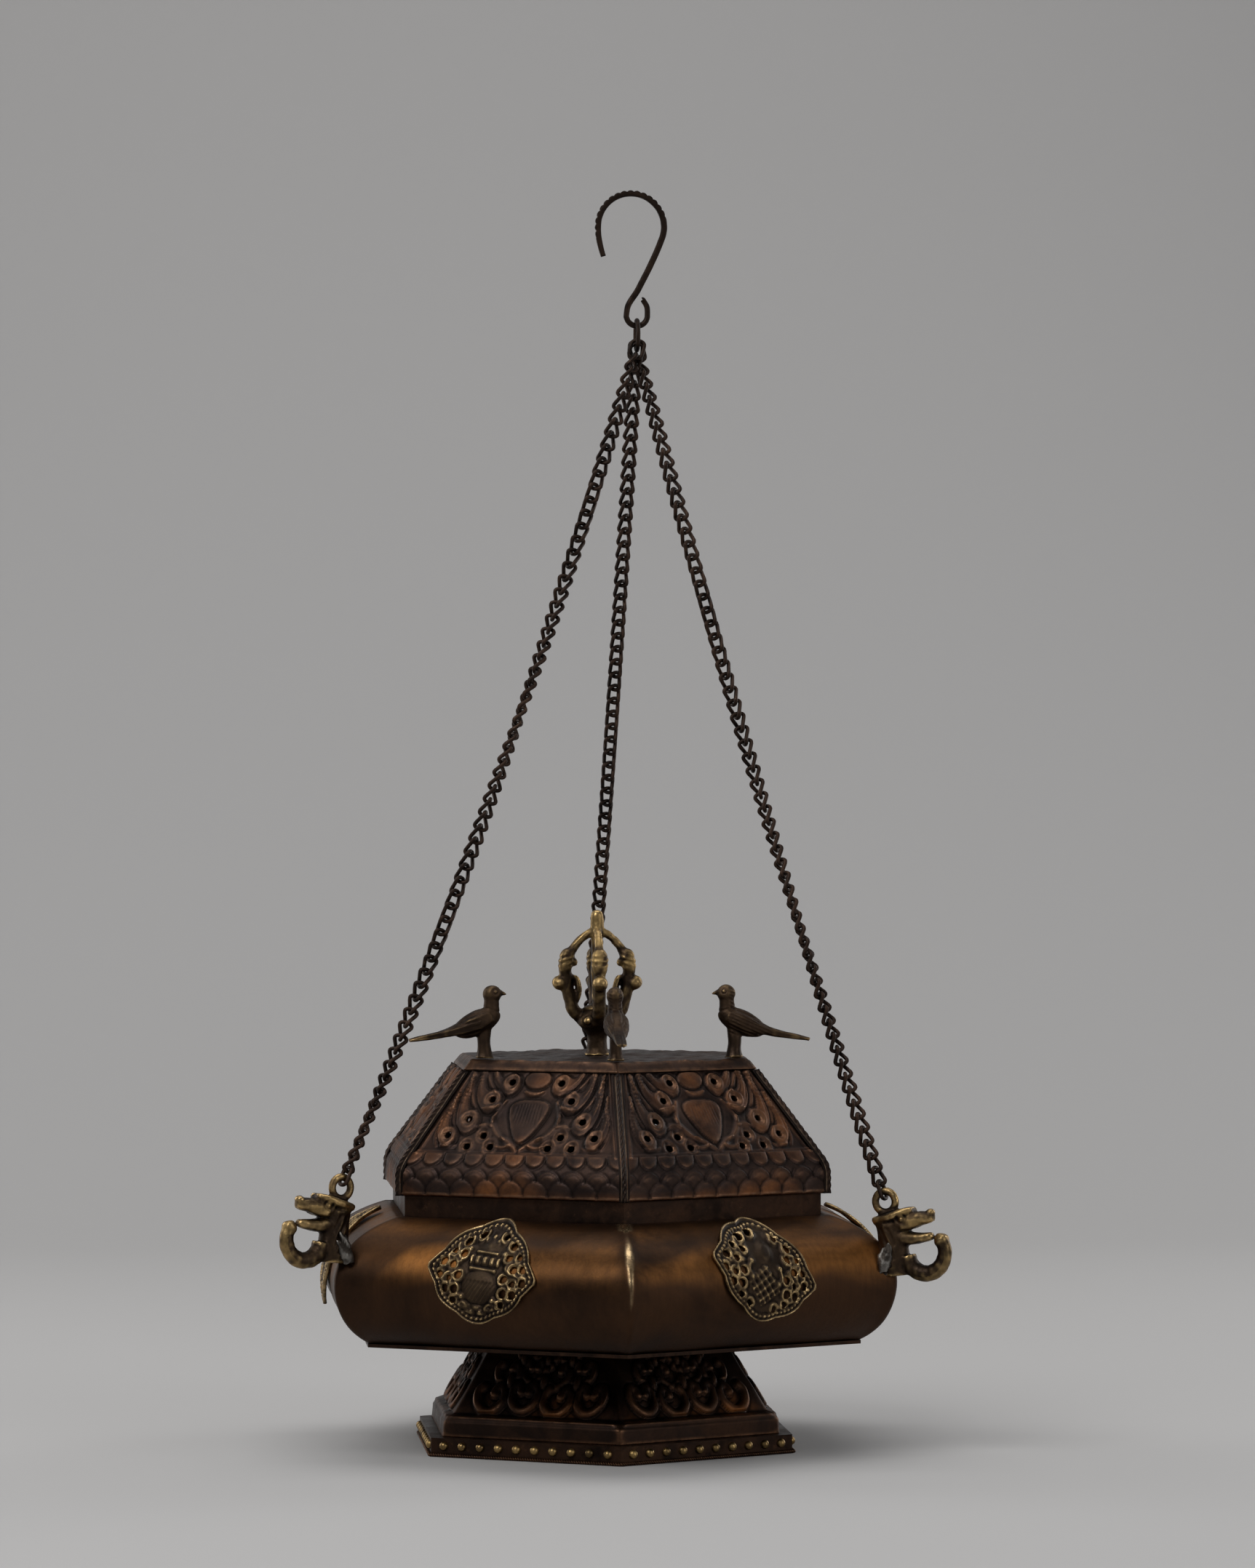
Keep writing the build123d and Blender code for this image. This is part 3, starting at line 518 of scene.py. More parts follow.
def lid_relief(x, z, flat):
    """Chased pattern of one lid panel, over the distance from its middle and the height."""
    half = flat * TAN30 - SEAM_WIDTH / 2
    side = np.abs(x)
    h = np.zeros_like(x)
    for start, bend, end, width in FEATHERS:
        path = bow(start, bend, end)
        widths = 1.15 + (width - 1.15) * np.linspace(0, 1, len(path)) ** 2.0
        r = near(side, z, path, widths)
        h = over(h, r, 0.62, 0.2, 0.28)
        from_end = np.hypot(side - end[0], z - end[1])
        h += np.where(r < 1, trench(r, 0.5, 0.13, 0.3) * np.clip((from_end - width * 0.8) / 2, 0, 1), 0)
    for path in (bow((20.2, 132.4), (18.0, 127.6), (14.4, 125.2)), bow((24.6, 131.2), (24.2, 122.8), (19.6, 119.0)),
                 bow((27.8, 126.4), (29.4, 117.0), (25.6, 112.6)), bow((31.0, 118.0), (33.4, 111.6), (31.2, 107.0)),
                 bow((30.4, 107.2), (27.0, 105.9), (23.6, 107.4))):
        h += ridge(side, z, path, 0.85, 0.55)
    # a crest, a crescent under it, and the shield with its hatching
    h = over(h, np.hypot(side / 5.0, (z - 129.4) / 3.2), 0.7, 0.1, 0.25)
    h += ridge(x, z, bow((-3.4, 125.4), (0, 123.6), (3.4, 125.4)), 1.1, 0.75)
    half_wide = 8.8 * np.clip((z - 108.2) / 13.6, 0.001, 1) ** 0.55
    shield = ((side / half_wide) ** 3 + (np.clip(z - 115.5, 0, None) / 7.3) ** 3) ** (1 / 3)
    h = over(h, shield, 0.8, 0.1, 0.3)
    inside = np.clip((0.8 - shield) / 0.1, 0, 1) * np.clip((z - 113.5) / 3, 0, 1)
    h -= inside * 0.3 * (0.5 + 0.5 * np.cos(x * 2 * pi / 1.15 * (1 + (z - 117) * 0.01)))
    for path, width in ((bow((9.6, 122.2), (12.6, 119.0), (12.2, 115.4)), 1.15),
                        (bow((12.6, 116.6), (11.8, 111.6), (6.4, 109.6)), 1.35),
                        (bow((7.4, 110.2), (3.6, 108.4), (0.4, 105.9)), 1.2),
                        (bow((17.4, 119.4), (13.4, 118.8), (11.4, 120.6)), 0.95),
                        (bow((17.6, 113.4), (14.2, 115.2), (12.4, 113.6)), 1.0),
                        (bow((9.2, 107.4), (5.6, 106.4), (3.4, 107.6)), 0.8)):
        h += ridge(side, z, path, width, 0.7)
    for vx, vz in VENTS:
        r = np.hypot(side - vx, z - vz)
        h += 0.35 * np.exp(-(((r - 2.5) / 0.55) ** 2)) - 0.5 * np.exp(-((r / 1.8) ** 2))
    field = np.clip((z - 104.9) / 0.5, 0, 1) * np.clip((132.0 - z) / 0.5, 0, 1)
    field *= np.clip((half - side - 0.9) / 0.8, 0, 1)
    h *= field
    h += 0.4 * np.exp(-(((half - side - 0.7) / 0.42) ** 2)) * (z > 104)
    # a line, hanging half rounds, a raised line, then two rows of petals
    h += 0.35 * np.exp(-(((z - 105.1) / 0.45) ** 2))
    pitch = 2 * half / 10
    along = (x / pitch + 0.5) % 1 - 0.5
    scallop = np.hypot(along / 0.49, np.clip(104.5 - z, 0, None) / 4.0)
    in_row = (z < 104.5) & (z > 99.8)
    h += np.where(in_row & (scallop < 1), 0.15 + dome(scallop, 0.5), 0)
    h += np.where(in_row, trench(scallop, 1.04, 0.09, 0.2), 0)
    pitch = 2 * (half + 1.4) / 9
    for phase, top, floor in ((0.5, 99.8, 0.0), (0.0, 96.2, 0.3)):
        along = (x / pitch + phase + 0.5) % 1 - 0.5
        petal = np.hypot(along / 0.5, np.clip(z - (top - 4.4), 0, None) / 4.4)
        raised = floor + dome(petal, 0.55) + trench(petal, 0.74, 0.07, 0.18) * (floor == 0)
        h = np.where((z < top) & (petal < 1), raised, h)
        h += np.where(z < top, trench(petal, 1.03, 0.08, 0.22), 0)
    h *= np.clip((z - 90.2) / 0.7, 0, 1)
    return h + 0.3 * np.exp(-(((z - 90.6) / 0.5) ** 2))


def lid_grid():
    """One panel's grid on the side that faces +X: outer and inner points, the grid's across and up positions pulled
    round the vents, and cells to keep.
    """
    outer = same_count(lid_profile(0), 128)
    inner = same_count(lid_profile(-LID_SHEET), 128)
    u = np.linspace(-1, 1, 182)
    x = u[None] * outer[:, :1] * TAN30
    z = outer[:, 1:] + 0 * x
    middle_x = (x[:-1, :-1] + x[1:, 1:]) / 2
    middle_z = (z[:-1, :-1] + z[1:, 1:]) / 2
    lean = sqrt(1 + SLOPE**2)
    keep = np.ones(middle_x.shape, bool)
    for vx, vz in VENTS:
        keep &= np.hypot(np.abs(middle_x) - vx, (middle_z - vz) * lean) > VENT_RADIUS
    padded = np.pad(keep, 1, constant_values=True)
    around = [padded[:-1, :-1], padded[:-1, 1:], padded[1:, :-1], padded[1:, 1:]]
    edge = np.logical_or.reduce(around) & ~np.logical_and.reduce(around)
    for vx, vz in VENTS:
        for sign in (1, -1):
            dx, dz = x - sign * vx, (z - vz) * lean
            r = np.hypot(dx, dz)
            pull = np.where(edge & (r < VENT_RADIUS + 1), VENT_RADIUS / np.maximum(r, 0.1), 1)
            x, z = x + dx * (pull - 1), z + dz * (pull - 1) / lean
    return outer, inner, x, z, keep


def lid_panel(name, degrees, grid, number):
    outer, inner, x, z, keep = grid
    outward = normals_of(outer)
    height = lid_relief(x * (1 if number % 2 else -1), z, outer[:, :1] + 0 * x)
    height = height + lumps(np.stack([x + 70 * number, z, 0 * z], -1), 8, 0.12, number)
    drift = (z - outer[:, 1:]) * (outer[:, 1:] > SLOPE_START[1])
    flat = outer[:, :1] - SLOPE * drift + outward[:, :1] * height
    up = z + outward[:, 1:] * height
    u = x / ((outer[:, :1] - SLOPE * drift) * TAN30)
    out_points = np.stack([flat, u * flat * TAN30, up], -1)
    back = inner[:, :1] - SLOPE * drift + outward[:, :1] * height * 0.5
    back_up = inner[:, 1:] + drift + outward[:, 1:] * height * 0.5
    in_points = np.stack([back, u * back * TAN30, back_up], -1)
    points, faces, used = shell(out_points, in_points, keep)
    # Painted highlight: lighter warm colour on the raised chasing and towards each panel's middle, broken up by
    # noise.
    warm = lumps(np.stack([x + 50 * number, z, 0 * z], -1), 16, 2.4, 9)
    sheen_and_rub_mask = np.clip(height / 0.9, 0.1, 1) * np.clip(0.45 + warm + 0.35 * np.exp(-((x / 13) ** 2)), 0, 1)
    glow = np.concatenate([sheen_and_rub_mask.ravel(), sheen_and_rub_mask.ravel()])[used]
    piece(f"panel_{name}", turned(points, degrees), faces, "lid", LID_METAL, "lid_copper", [f"lid_panel_{name}"],
          wear_and_shading=(8, 0.22), glow=glow)


GRID_OF_LID = lid_grid()
for number, (name, degrees) in enumerate(SIDES.items()):
    lid_panel(name, degrees, GRID_OF_LID, number)


def seam_strip(degrees):
    """One roped cover strip, folded over a ridge of the lid at +30 degrees from a side."""
    outer = same_count(lid_profile(0.75), 150)
    outer = outer[outer[:, 1] < LIP_BOTTOM_Z - 0.2]
    inner = outer - normals_of(outer) * 0.75
    v = np.linspace(-SEAM_WIDTH / 2, SEAM_WIDTH / 2, 25)
    run = np.arange(len(outer))[:, None] * 0.36
    rope = np.clip(1 - (v[None] / 1.25) ** 2, 0, 1) ** 0.5
    twist = np.abs(np.cos((run + v[None] * 1.4) * pi / 2.5)) ** 0.7
    height = rope * (0.05 + 0.62 * twist) - 0.25 * np.exp(-(((np.abs(v[None]) - 1.45) / 0.25) ** 2))
    height += lumps(np.stack([run + 0 * v, v + 0 * run + degrees, 0 * run + 0 * v], -1), 3, 0.08, 5)
    outward = normals_of(outer)
    sheets = []
    for profile, lift in ((outer, height), (inner, 0 * height)):
        flat = profile[:, :1] + outward[:, :1] * lift
        up = profile[:, 1:] + outward[:, 1:] * lift
        back = np.abs(v)[None]
        bend = np.sqrt(back**2 + 0.4) - 0.5
        along = flat * TAN30 - bend
        sides = np.where(v[None] >= 0, 1, -1)
        left = np.stack([flat, along, up], -1)
        mirror = left @ np.array([[cos(pi / 3), sin(pi / 3), 0], [sin(pi / 3), -cos(pi / 3), 0], [0, 0, 1]])
        sheets.append(np.where(sides[..., None] > 0, left, mirror))
    points, faces, _ = shell(*sheets)
    return turned(points, degrees), faces


strips = [seam_strip(degrees) for degrees in SIDES_ROUND]


def joined(parts):
    """Several skins as one."""
    points, faces, start = [], [], 0
    for some, quads in parts:
        points.append(some)
        quads = quads.tolist() if isinstance(quads, np.ndarray) else quads
        faces += [[corner + start for corner in face] for face in quads]
        start += len(some)
    return np.vstack(points), faces


piece("seam_strips", *joined(strips), "lid", SEAM_METAL, "seam_strip", ["lid_seams"], wear_and_shading=(5, 0.15))

# top plate, hammered, with its folded lip
lip = stations([(slope_flat(LIP_BOTTOM_Z) + LIP, LIP_BOTTOM_Z), (slope_flat(PLATE_TOP_Z) + LIP, PLATE_TOP_Z - 0.3),
                (slope_flat(PLATE_TOP_Z) + LIP - 0.5, PLATE_TOP_Z), (3.0, PLATE_TOP_Z)], 0.8)
under = np.stack([lip[:, 0] - 0.9, np.minimum(lip[:, 1], PANEL_TOP_Z + 0.1)], 1)
under[:, 0] = np.where(lip[:, 1] < PLATE_TOP_Z - 0.2, slope_flat(under[:, 1]) + 0.1,
                       np.minimum(lip[:, 0], slope_flat(PANEL_TOP_Z)))


def plate_relief(across, z, u, number):
    flat = across / np.where(np.abs(u) < 1e-6, 1e-6, u) / TAN30
    spot = turned(np.stack([flat, across, 0 * z], -1), 60 * number)
    dents = lumps(spot, 4.5, 0.55, 11) - 0.25
    return np.where(z > PLATE_TOP_Z - 0.4, np.minimum(dents, 0.1), 0.18 * dents)


points, faces, _ = hex_ring(lip, under, 60, plate_relief)
piece("top_plate", points, faces, "lid", LID_METAL, "lid_copper", ["lid_plate"], wear_and_shading=(10, 0.3))

# ---- Foot ----
FOOT_TOP = (39.8, 38.8)
SKIRT = [(58.3, 6.5), (58.0, 11.5), (56.6, 13.6), (54.4, 14.4)]
SCROLL = [(-1.5, 1.2), (-1.9, 2.9), (-3.6, 3.5), (-5.0, 1.6), (-4.6, -1.6), (-2.4, -4.0), (0, -4.8), (2.4, -4.0),
          (4.6, -1.6), (5.0, 1.6), (3.6, 3.5), (1.9, 2.9), (1.5, 1.2)]
SCROLL_ROWS = [(34.6, 0.68, (-7.6, 0.2, 7.8)), (28.4, 0.84, (-13.4, -4.6, 4.4, 13.6)),
               (20.4, 1.0, (-18.6, -6.4, 6.0, 18.4))]


def foot_relief(across, z, u, number):
    """Cloud scrolls in rows that shrink upwards, with a small ear between each two."""
    x = across * (1 if number % 2 else -1)
    h = np.zeros_like(x)
    for height, size, places in SCROLL_ROWS:
        for k, place in enumerate(places):
            path = np.array(SCROLL) * size + (place, height + 0.5 * (-1) ** k)
            if k % 2:
                path = path[:-2]
            path = catmull(path, 5)
            line = near(x, z, path, np.full(len(path), 1.75 * size))
            h = over(h, line, 1.35, 0.0, 0.3)
            eye = np.hypot(x - place, z - height - 0.4) / (2.1 * size)
            h += 0.5 * np.exp(-(eye**2) * 1.5)
        for a, b in zip(places, places[1:]):
            ear = np.hypot((x - (a + b) / 2) / (1.5 * size), (z - height - 5.2 * size) / (2.7 * size))
            h = over(h, ear, 1.5, 0.2, 0.4)
    h *= np.clip((0.965 - np.abs(u)) / 0.06, 0, 1) * np.clip((z - 14.0) / 0.8, 0, 1) * np.clip((38.8 - z) / 1.5, 0, 1)
    h += 0.4 * np.exp(-(((z - 13.2) / 0.6) ** 2)) * np.clip((0.97 - np.abs(u)) / 0.05, 0, 1)
    return h + lumps(np.stack([across + 80 * number, z, 0 * z], -1), 7, 0.16, 8)


outer = same_count(stations(SKIRT + [(47.5, 25.4), FOOT_TOP], 0.4), 96)
foot_inner = same_count(stations([(x - 1.5, z) for x, z in SKIRT] + [(46.0, 25.0), (38.3, 38.0)], 0.4), 96)
points, faces, height = hex_ring(outer, foot_inner, 132, foot_relief, softness=120)
# Painted highlight: a warm band low on the foot's slope, just above the skirt, broken up by noise.
patches = 0.5 + lumps(points, 9, 2.4, 16)
glow = np.clip(1 - (points[:, 2] - 15.5) / 9, 0, 1) * (points[:, 2] > 13.6) * np.clip(patches, 0.1, 1)
piece("foot_body", points, faces, "censer", FOOT_METAL, "foot_copper", ["foot_shell"], wear_and_shading=(12, 0.35), glow=glow)

BAND_FLAT = 62.3
rope_turn = np.linspace(-0.42 * pi, 0.55 * pi, 9)
rope_out = np.stack([BAND_FLAT + 0.35 + 0.75 * np.cos(rope_turn), 0.7 + 0.6 * np.sin(rope_turn)], 1)
rope_in = np.stack([0 * rope_turn + BAND_FLAT + 0.05, np.linspace(0.05, 1.15, 9)], 1)


def rope_relief(across, z, u, number):
    return 0.16 * np.cos((across + z * 0.5) * 2 * pi / 0.92) - 0.06


points, faces, _ = hex_ring(rope_out, rope_in, 560, rope_relief)
piece("foot_edge_rope", points, faces, "censer", FOOT_METAL, "foot_copper", ["foot_rope"], wear_and_shading=(4, 0.12))

# ---- Plaques ----
PLAQUE_TILT = {"front_left": -6, "front_right": -17, "right": 4, "rear_right": -8, "rear_left": 6, "left": -5}
PLAQUE_HALF = (20.75, 16.75)
PLAQUE_Z, PLAQUE_BEND, PLAQUE_TOUCH = 66.2, 28.0, radians(30.4)
PLAQUE_OFF = PLAQUE_BEND - HIGH_RADIUS - 0.03
PLAQUE_CENTRE = (BOWL_FLAT - HIGH_RADIUS - PLAQUE_OFF * cos(PLAQUE_TOUCH), WIDEST_Z - PLAQUE_OFF * sin(PLAQUE_TOUCH))


def plaque_rim(angle):
    """Share of the plaque's half size that its lobed outline reaches at an angle."""
    cusps = 0.14 * np.exp(-np.abs(np.sin(angle)) / 0.17)
    crown = 0.1 * np.exp(-((np.cos(angle) / 0.42) ** 2))
    return np.minimum(0.855 + cusps + crown + 0.045 * np.abs(np.cos(4 * angle)), 1)


def tendril(x, y, path, width=0.95):
    r = near(x, y, path, np.full(len(path), width))
    return np.exp(-(r**2) * 1.3)


VASE_VINES = [[(5.4, 11.6), (8.0, 12.6), (9.6, 10.2), (12.0, 8.8), (11.4, 5.6), (14.0, 4.2)],
              [(6.8, 6.8), (9.2, 5.6), (8.6, 2.6), (11.6, 1.6), (15.2, 0.4)],
              [(8.6, -1.0), (11.2, -2.6), (10.6, -6.0), (13.2, -6.8), (14.2, -3.6)],
              [(5.8, -8.2), (8.6, -8.2), (10.4, -10.2), (8.2, -12.0)], [(1.6, -12.6), (4.6, -13.2), (6.2, -11.2)]]
KNOT_VINES = [[(3.0, 12.2), (6.4, 11.4), (7.6, 8.2), (10.8, 7.8), (10.6, 4.6), (8.0, 4.4)],
              [(13.4, 8.6), (13.0, 5.0), (15.4, 2.6), (14.2, -0.6), (12.2, 0.6)],
              [(9.2, 1.6), (11.2, -0.8), (10.4, -4.2), (12.2, -6.2), (9.8, -7.8)],
              [(7.6, -9.6), (9.4, -11.2), (6.2, -12.4), (4.0, -11.4)], [(5.6, 2.0), (6.6, -0.8), (5.4, -3.0)]]


PLAQUE_HOLES = [(8.8, 9.4), (4.6, 11.8), (12.3, 6.2), (8.6, 5.6), (15.0, 2.6), (11.4, 2.0), (15.6, -1.8),
                (11.8, -2.4), (8.6, -1.2), (9.2, -5.8), (12.7, -5.9), (9.0, -9.4), (5.2, -11.6)]


def plaque_relief(p, q, knot):
    """Height of one plaque, and where it is pierced, over its own two axes."""
    angle = np.arctan2(q / PLAQUE_HALF[1], p / PLAQUE_HALF[0])
    reach = np.hypot(p / PLAQUE_HALF[0], q / PLAQUE_HALF[1]) / plaque_rim(angle)
    side = np.abs(p)
    metal_here = np.zeros_like(p)
    for path in (KNOT_VINES if knot else VASE_VINES):
        metal_here = np.maximum(metal_here, tendril(side, q + 0.04 * p, curve(*path), 0.9))
        end = path[-1]
        metal_here = np.maximum(metal_here, 1.25 * np.exp(-((np.hypot(side - end[0], q - end[1]) / 1.25) ** 2)))
        start = path[0]
        metal_here = np.maximum(metal_here, 1.2 * np.exp(-((np.hypot(side - start[0], q - start[1]) / 1.2) ** 2)))
    pierced = np.zeros(p.shape, bool)
    for hx, hq in PLAQUE_HOLES:
        r = np.hypot(side - hx, q - hq - 0.04 * p)
        curl = 0.72 + 0.36 * np.cos(np.arctan2(q - hq, side - hx) - hx * 5 - hq)
        metal_here = np.maximum(metal_here, curl * np.exp(-(((r - 1.85) / 0.6) ** 2)))
        pierced |= r < 0.9 + 0.2 * sin(hx * 7 + hq)
    if knot:
        cells = np.abs(np.cos((p + q + 4) * pi / 3.3) * np.cos((p - q - 4) * pi / 3.3)) ** 0.7
        lattice = (np.abs(p) + np.abs(q + 4.6) < 7.2) * (1.15 - cells)
        bud = np.exp(-((np.hypot(p / 2.6, (q - 6.2) / 3.4)) ** 4)) * 1.3
        centre = np.maximum(lattice, bud)
        solid = (np.abs(p) + np.abs(q + 4.6) < 7.6) | (np.hypot(p / 3.4, (q - 6.4) / 4.4) < 1)
    else:
        vase = np.hypot(p / 6.6, (q + 4.4) / 5.6)
        centre = dome(vase, 1.5) * (1 - 0.3 * (0.5 + 0.5 * np.cos((p - 0.6 * q) * 2 * pi / 1.5)) * (q < -2.6))
        centre = np.maximum(centre, 1.25 * np.exp(-(((q - 1.2) / 0.55) ** 2)) * (side < 5.0))
        petals = 1.35 * np.abs(np.cos(p * pi / 2.7)) ** 0.5 * np.exp(-(((q - 4.0) / 1.5) ** 4)) * (side < 5.6)
        centre = np.maximum(centre, petals)
        centre = np.maximum(centre, 1.2 * np.exp(-(((q - 6.5) / 0.5) ** 2)) * (side < 4.2))
        centre = np.maximum(centre, 1.1 * np.exp(-((np.hypot(p, q - 8.6) / 2.2) ** 2)))
        for bx, bq in ((0, 11.4), (2.4, 10.4)):
            centre = np.maximum(centre, 1.3 * np.exp(-((np.hypot(side - bx, q - bq) / 1.0) ** 2)))
        tabs = 1.2 * np.abs(np.cos(p * pi / 4.2)) ** 0.6 * np.exp(-(((q + 11.2) / 0.9) ** 4)) * (side < 6.2)
        centre = np.maximum(centre, tabs)
        solid = (np.hypot(p / 7.4, (q + 4.4) / 6.4) < 1) | ((side < 5.8) & (q > -2) & (q < 10))
        solid |= np.hypot(side / 7, (q + 11) / 2) < 1
    h = 0.1 + np.maximum(metal_here * 1.35, centre)
    rope = np.exp(-(((reach - 0.885) / 0.032) ** 2)) * (1.05 + 0.5 * np.cos(angle * 62 + reach * 30))
    rim = 1.5 * np.exp(-(((reach - 0.975) / 0.022) ** 2))
    border = reach > 0.83
    h = np.where(border, 0.25 + np.maximum(rope, rim), h)
    hole = ~border & ~solid & pierced
    return h, hole, reach


def plaque(name, degrees, knot):
    bend = np.linspace(-0.26, 1.27, 150)
    y = np.linspace(-21.5, 21.5, 168)
    rise = PLAQUE_BEND * np.sin(bend)[:, None] + 0 * y[None]
    up = PLAQUE_CENTRE[1] + rise - PLAQUE_Z
    tilt = radians(PLAQUE_TILT[name])
    across = y[None] + 0 * up
    p, q = across * cos(tilt) + up * sin(tilt), up * cos(tilt) - across * sin(tilt)
    h, hole, reach = plaque_relief(p, q, knot)
    metal_at = (reach < 1) & ~hole
    keep = metal_at[:-1, :-1] & metal_at[1:, 1:] & metal_at[:-1, 1:] & metal_at[1:, :-1]
    sheets = []
    for size in (PLAQUE_BEND + 0.35 + h * 0.75, PLAQUE_BEND + 0 * h):
        sheets.append(np.stack([PLAQUE_CENTRE[0] + size * np.cos(bend)[:, None], across,
                                PLAQUE_CENTRE[1] + size * np.sin(bend)[:, None]], -1))
    points, faces, _ = shell(*sheets, keep)
    # the cut edges run along grid lines, so they are softened
    edges = np.unique(np.sort(np.stack([faces, np.roll(faces, -1, 1)], -1).reshape(-1, 2), 1), axis=0)
    mean = neighbour_mean(edges, len(points))
    for _ in range(3):
        points = points + 0.45 * (mean(points) - points)
    piece(f"plaque_{name}", turned(points, degrees), faces, "censer", PLAQUE_METAL, "plaque_brass",
          [f"medallion_{name}"], wear_and_shading=(7, 0.2))


for number, (name, degrees) in enumerate(SIDES.items()):
    plaque(name, degrees, number % 2 == 1)


# ---- Castings ----
def placed(points, looks, corner, radius, height):
    """Points turned to look one way, then moved out to a corner's direction."""
    return turned(points, looks) + np.array([radius * cos(radians(corner)), radius * sin(radians(corner)), height])


BIRD_FOOT_RADIUS = 50


def bird(name, corner, looks, hatched):
    """A small bird that looks along +X, on one stout leg."""
    parts = [
        ball((-2.6, 0, 12.2), (8.8, 3.8, 4.3), 24),
        tube([(-1.5, 0, 12.0, 3.2, 3.6), (1.8, 0, 15.0, 3.1, 3.5), (2.4, 0, 18.2, 2.5, 2.7),
              (2.5, 0, 21.0, 2.4, 2.6)]),
        ball((2.7, 0, 22.2), (3.3, 3.0, 3.1), 8),
        tube([(4.6, 0, 22.7, 1.2, 1.3), (6.3, 0, 22.4, 0.8, 0.85), (7.8, 0, 21.9, 0.25, 0.3)]),
        tube([(-7.5, 0, 10.6, 2.7, 2.3), (-14.0, 0, 8.6, 2.4, 1.4), (-21.0, 0, 7.3, 2.1, 1.0),
              (-26.2, 0, 6.3, 1.7, 0.6)], square=0.7),
        tube([(0, 0, 11.0, 2.4, 2.6), (-0.2, 0, 6.0, 2.1, 2.3), (0, 0, 2.5, 2.3, 2.5),
              (0, 0, 0, 3.2, 3.3)], side=(0, 1, 0)),
        *[tube([(2.2, 2.8 * side, 14.6, 0.8, 1.9), (-2.5, 3.5 * side, 12.4, 0.9, 2.6),
                (-8.0, 2.8 * side, 10.2, 0.8, 1.9),
                (-13.5, 1.9 * side, 8.7, 0.5, 0.8)]) for side in (1, -1)],
    ]
    points, faces, normals = cast(parts, 0.36, 2)
    x, y, z = points.T
    flank = np.clip((np.abs(normals[:, 1]) - 0.35) / 0.3, 0, 1)
    along = -x * 0.96 - (z - 12) * 0.28
    over_wing = flank * np.clip((x + 14) / 2, 0, 1) * np.clip((2.2 - x) / 1.5, 0, 1) * (z > 7.5)
    lift = 0
    if hatched:
        lift = lift - over_wing * 0.34 * (0.5 + 0.5 * np.cos((along * 0.62 + (z - 12) * 1.5) * 2 * pi / 1.7))
    else:
        lift = lift - over_wing * 0.26 * (0.5 + 0.5 * np.cos((z - 12 - x * 0.26) * 2 * pi / 1.9)) * (x < -2)
    on_tail = np.clip((-13.5 - x) / 2, 0, 1)
    lift = lift - on_tail * 0.24 * (0.5 + 0.5 * np.cos(y * 2 * pi / 1.15))
    eye = np.hypot(x - 3.6, z - 23.1) + 3 * (np.abs(y) < 1.2)
    lift = lift - 0.35 * np.exp(-(((eye - 0.95) / 0.3) ** 2)) + 0.15 * np.exp(-((eye / 0.5) ** 2))
    lift = lift - 0.22 * np.exp(-(((z - 17.6 + 0.3 * x) / 0.35) ** 2)) * (x > -1)
    lift = lift + lumps(points, 3.2, 0.14, corner % 17)
    points = points + normals * np.reshape(lift, (-1, 1))
    points = placed(points, looks, corner, BIRD_FOOT_RADIUS, PLATE_TOP_Z)
    piece(f"cast_{name}", points, faces, "lid", BIRD_METAL, "bird_brass", [name], wear_and_shading=(14, 0.4))


bird("bird_left", -150, 5, False)
bird("bird_front", -90, 90, True)
bird("bird_right", -30, 175, True)


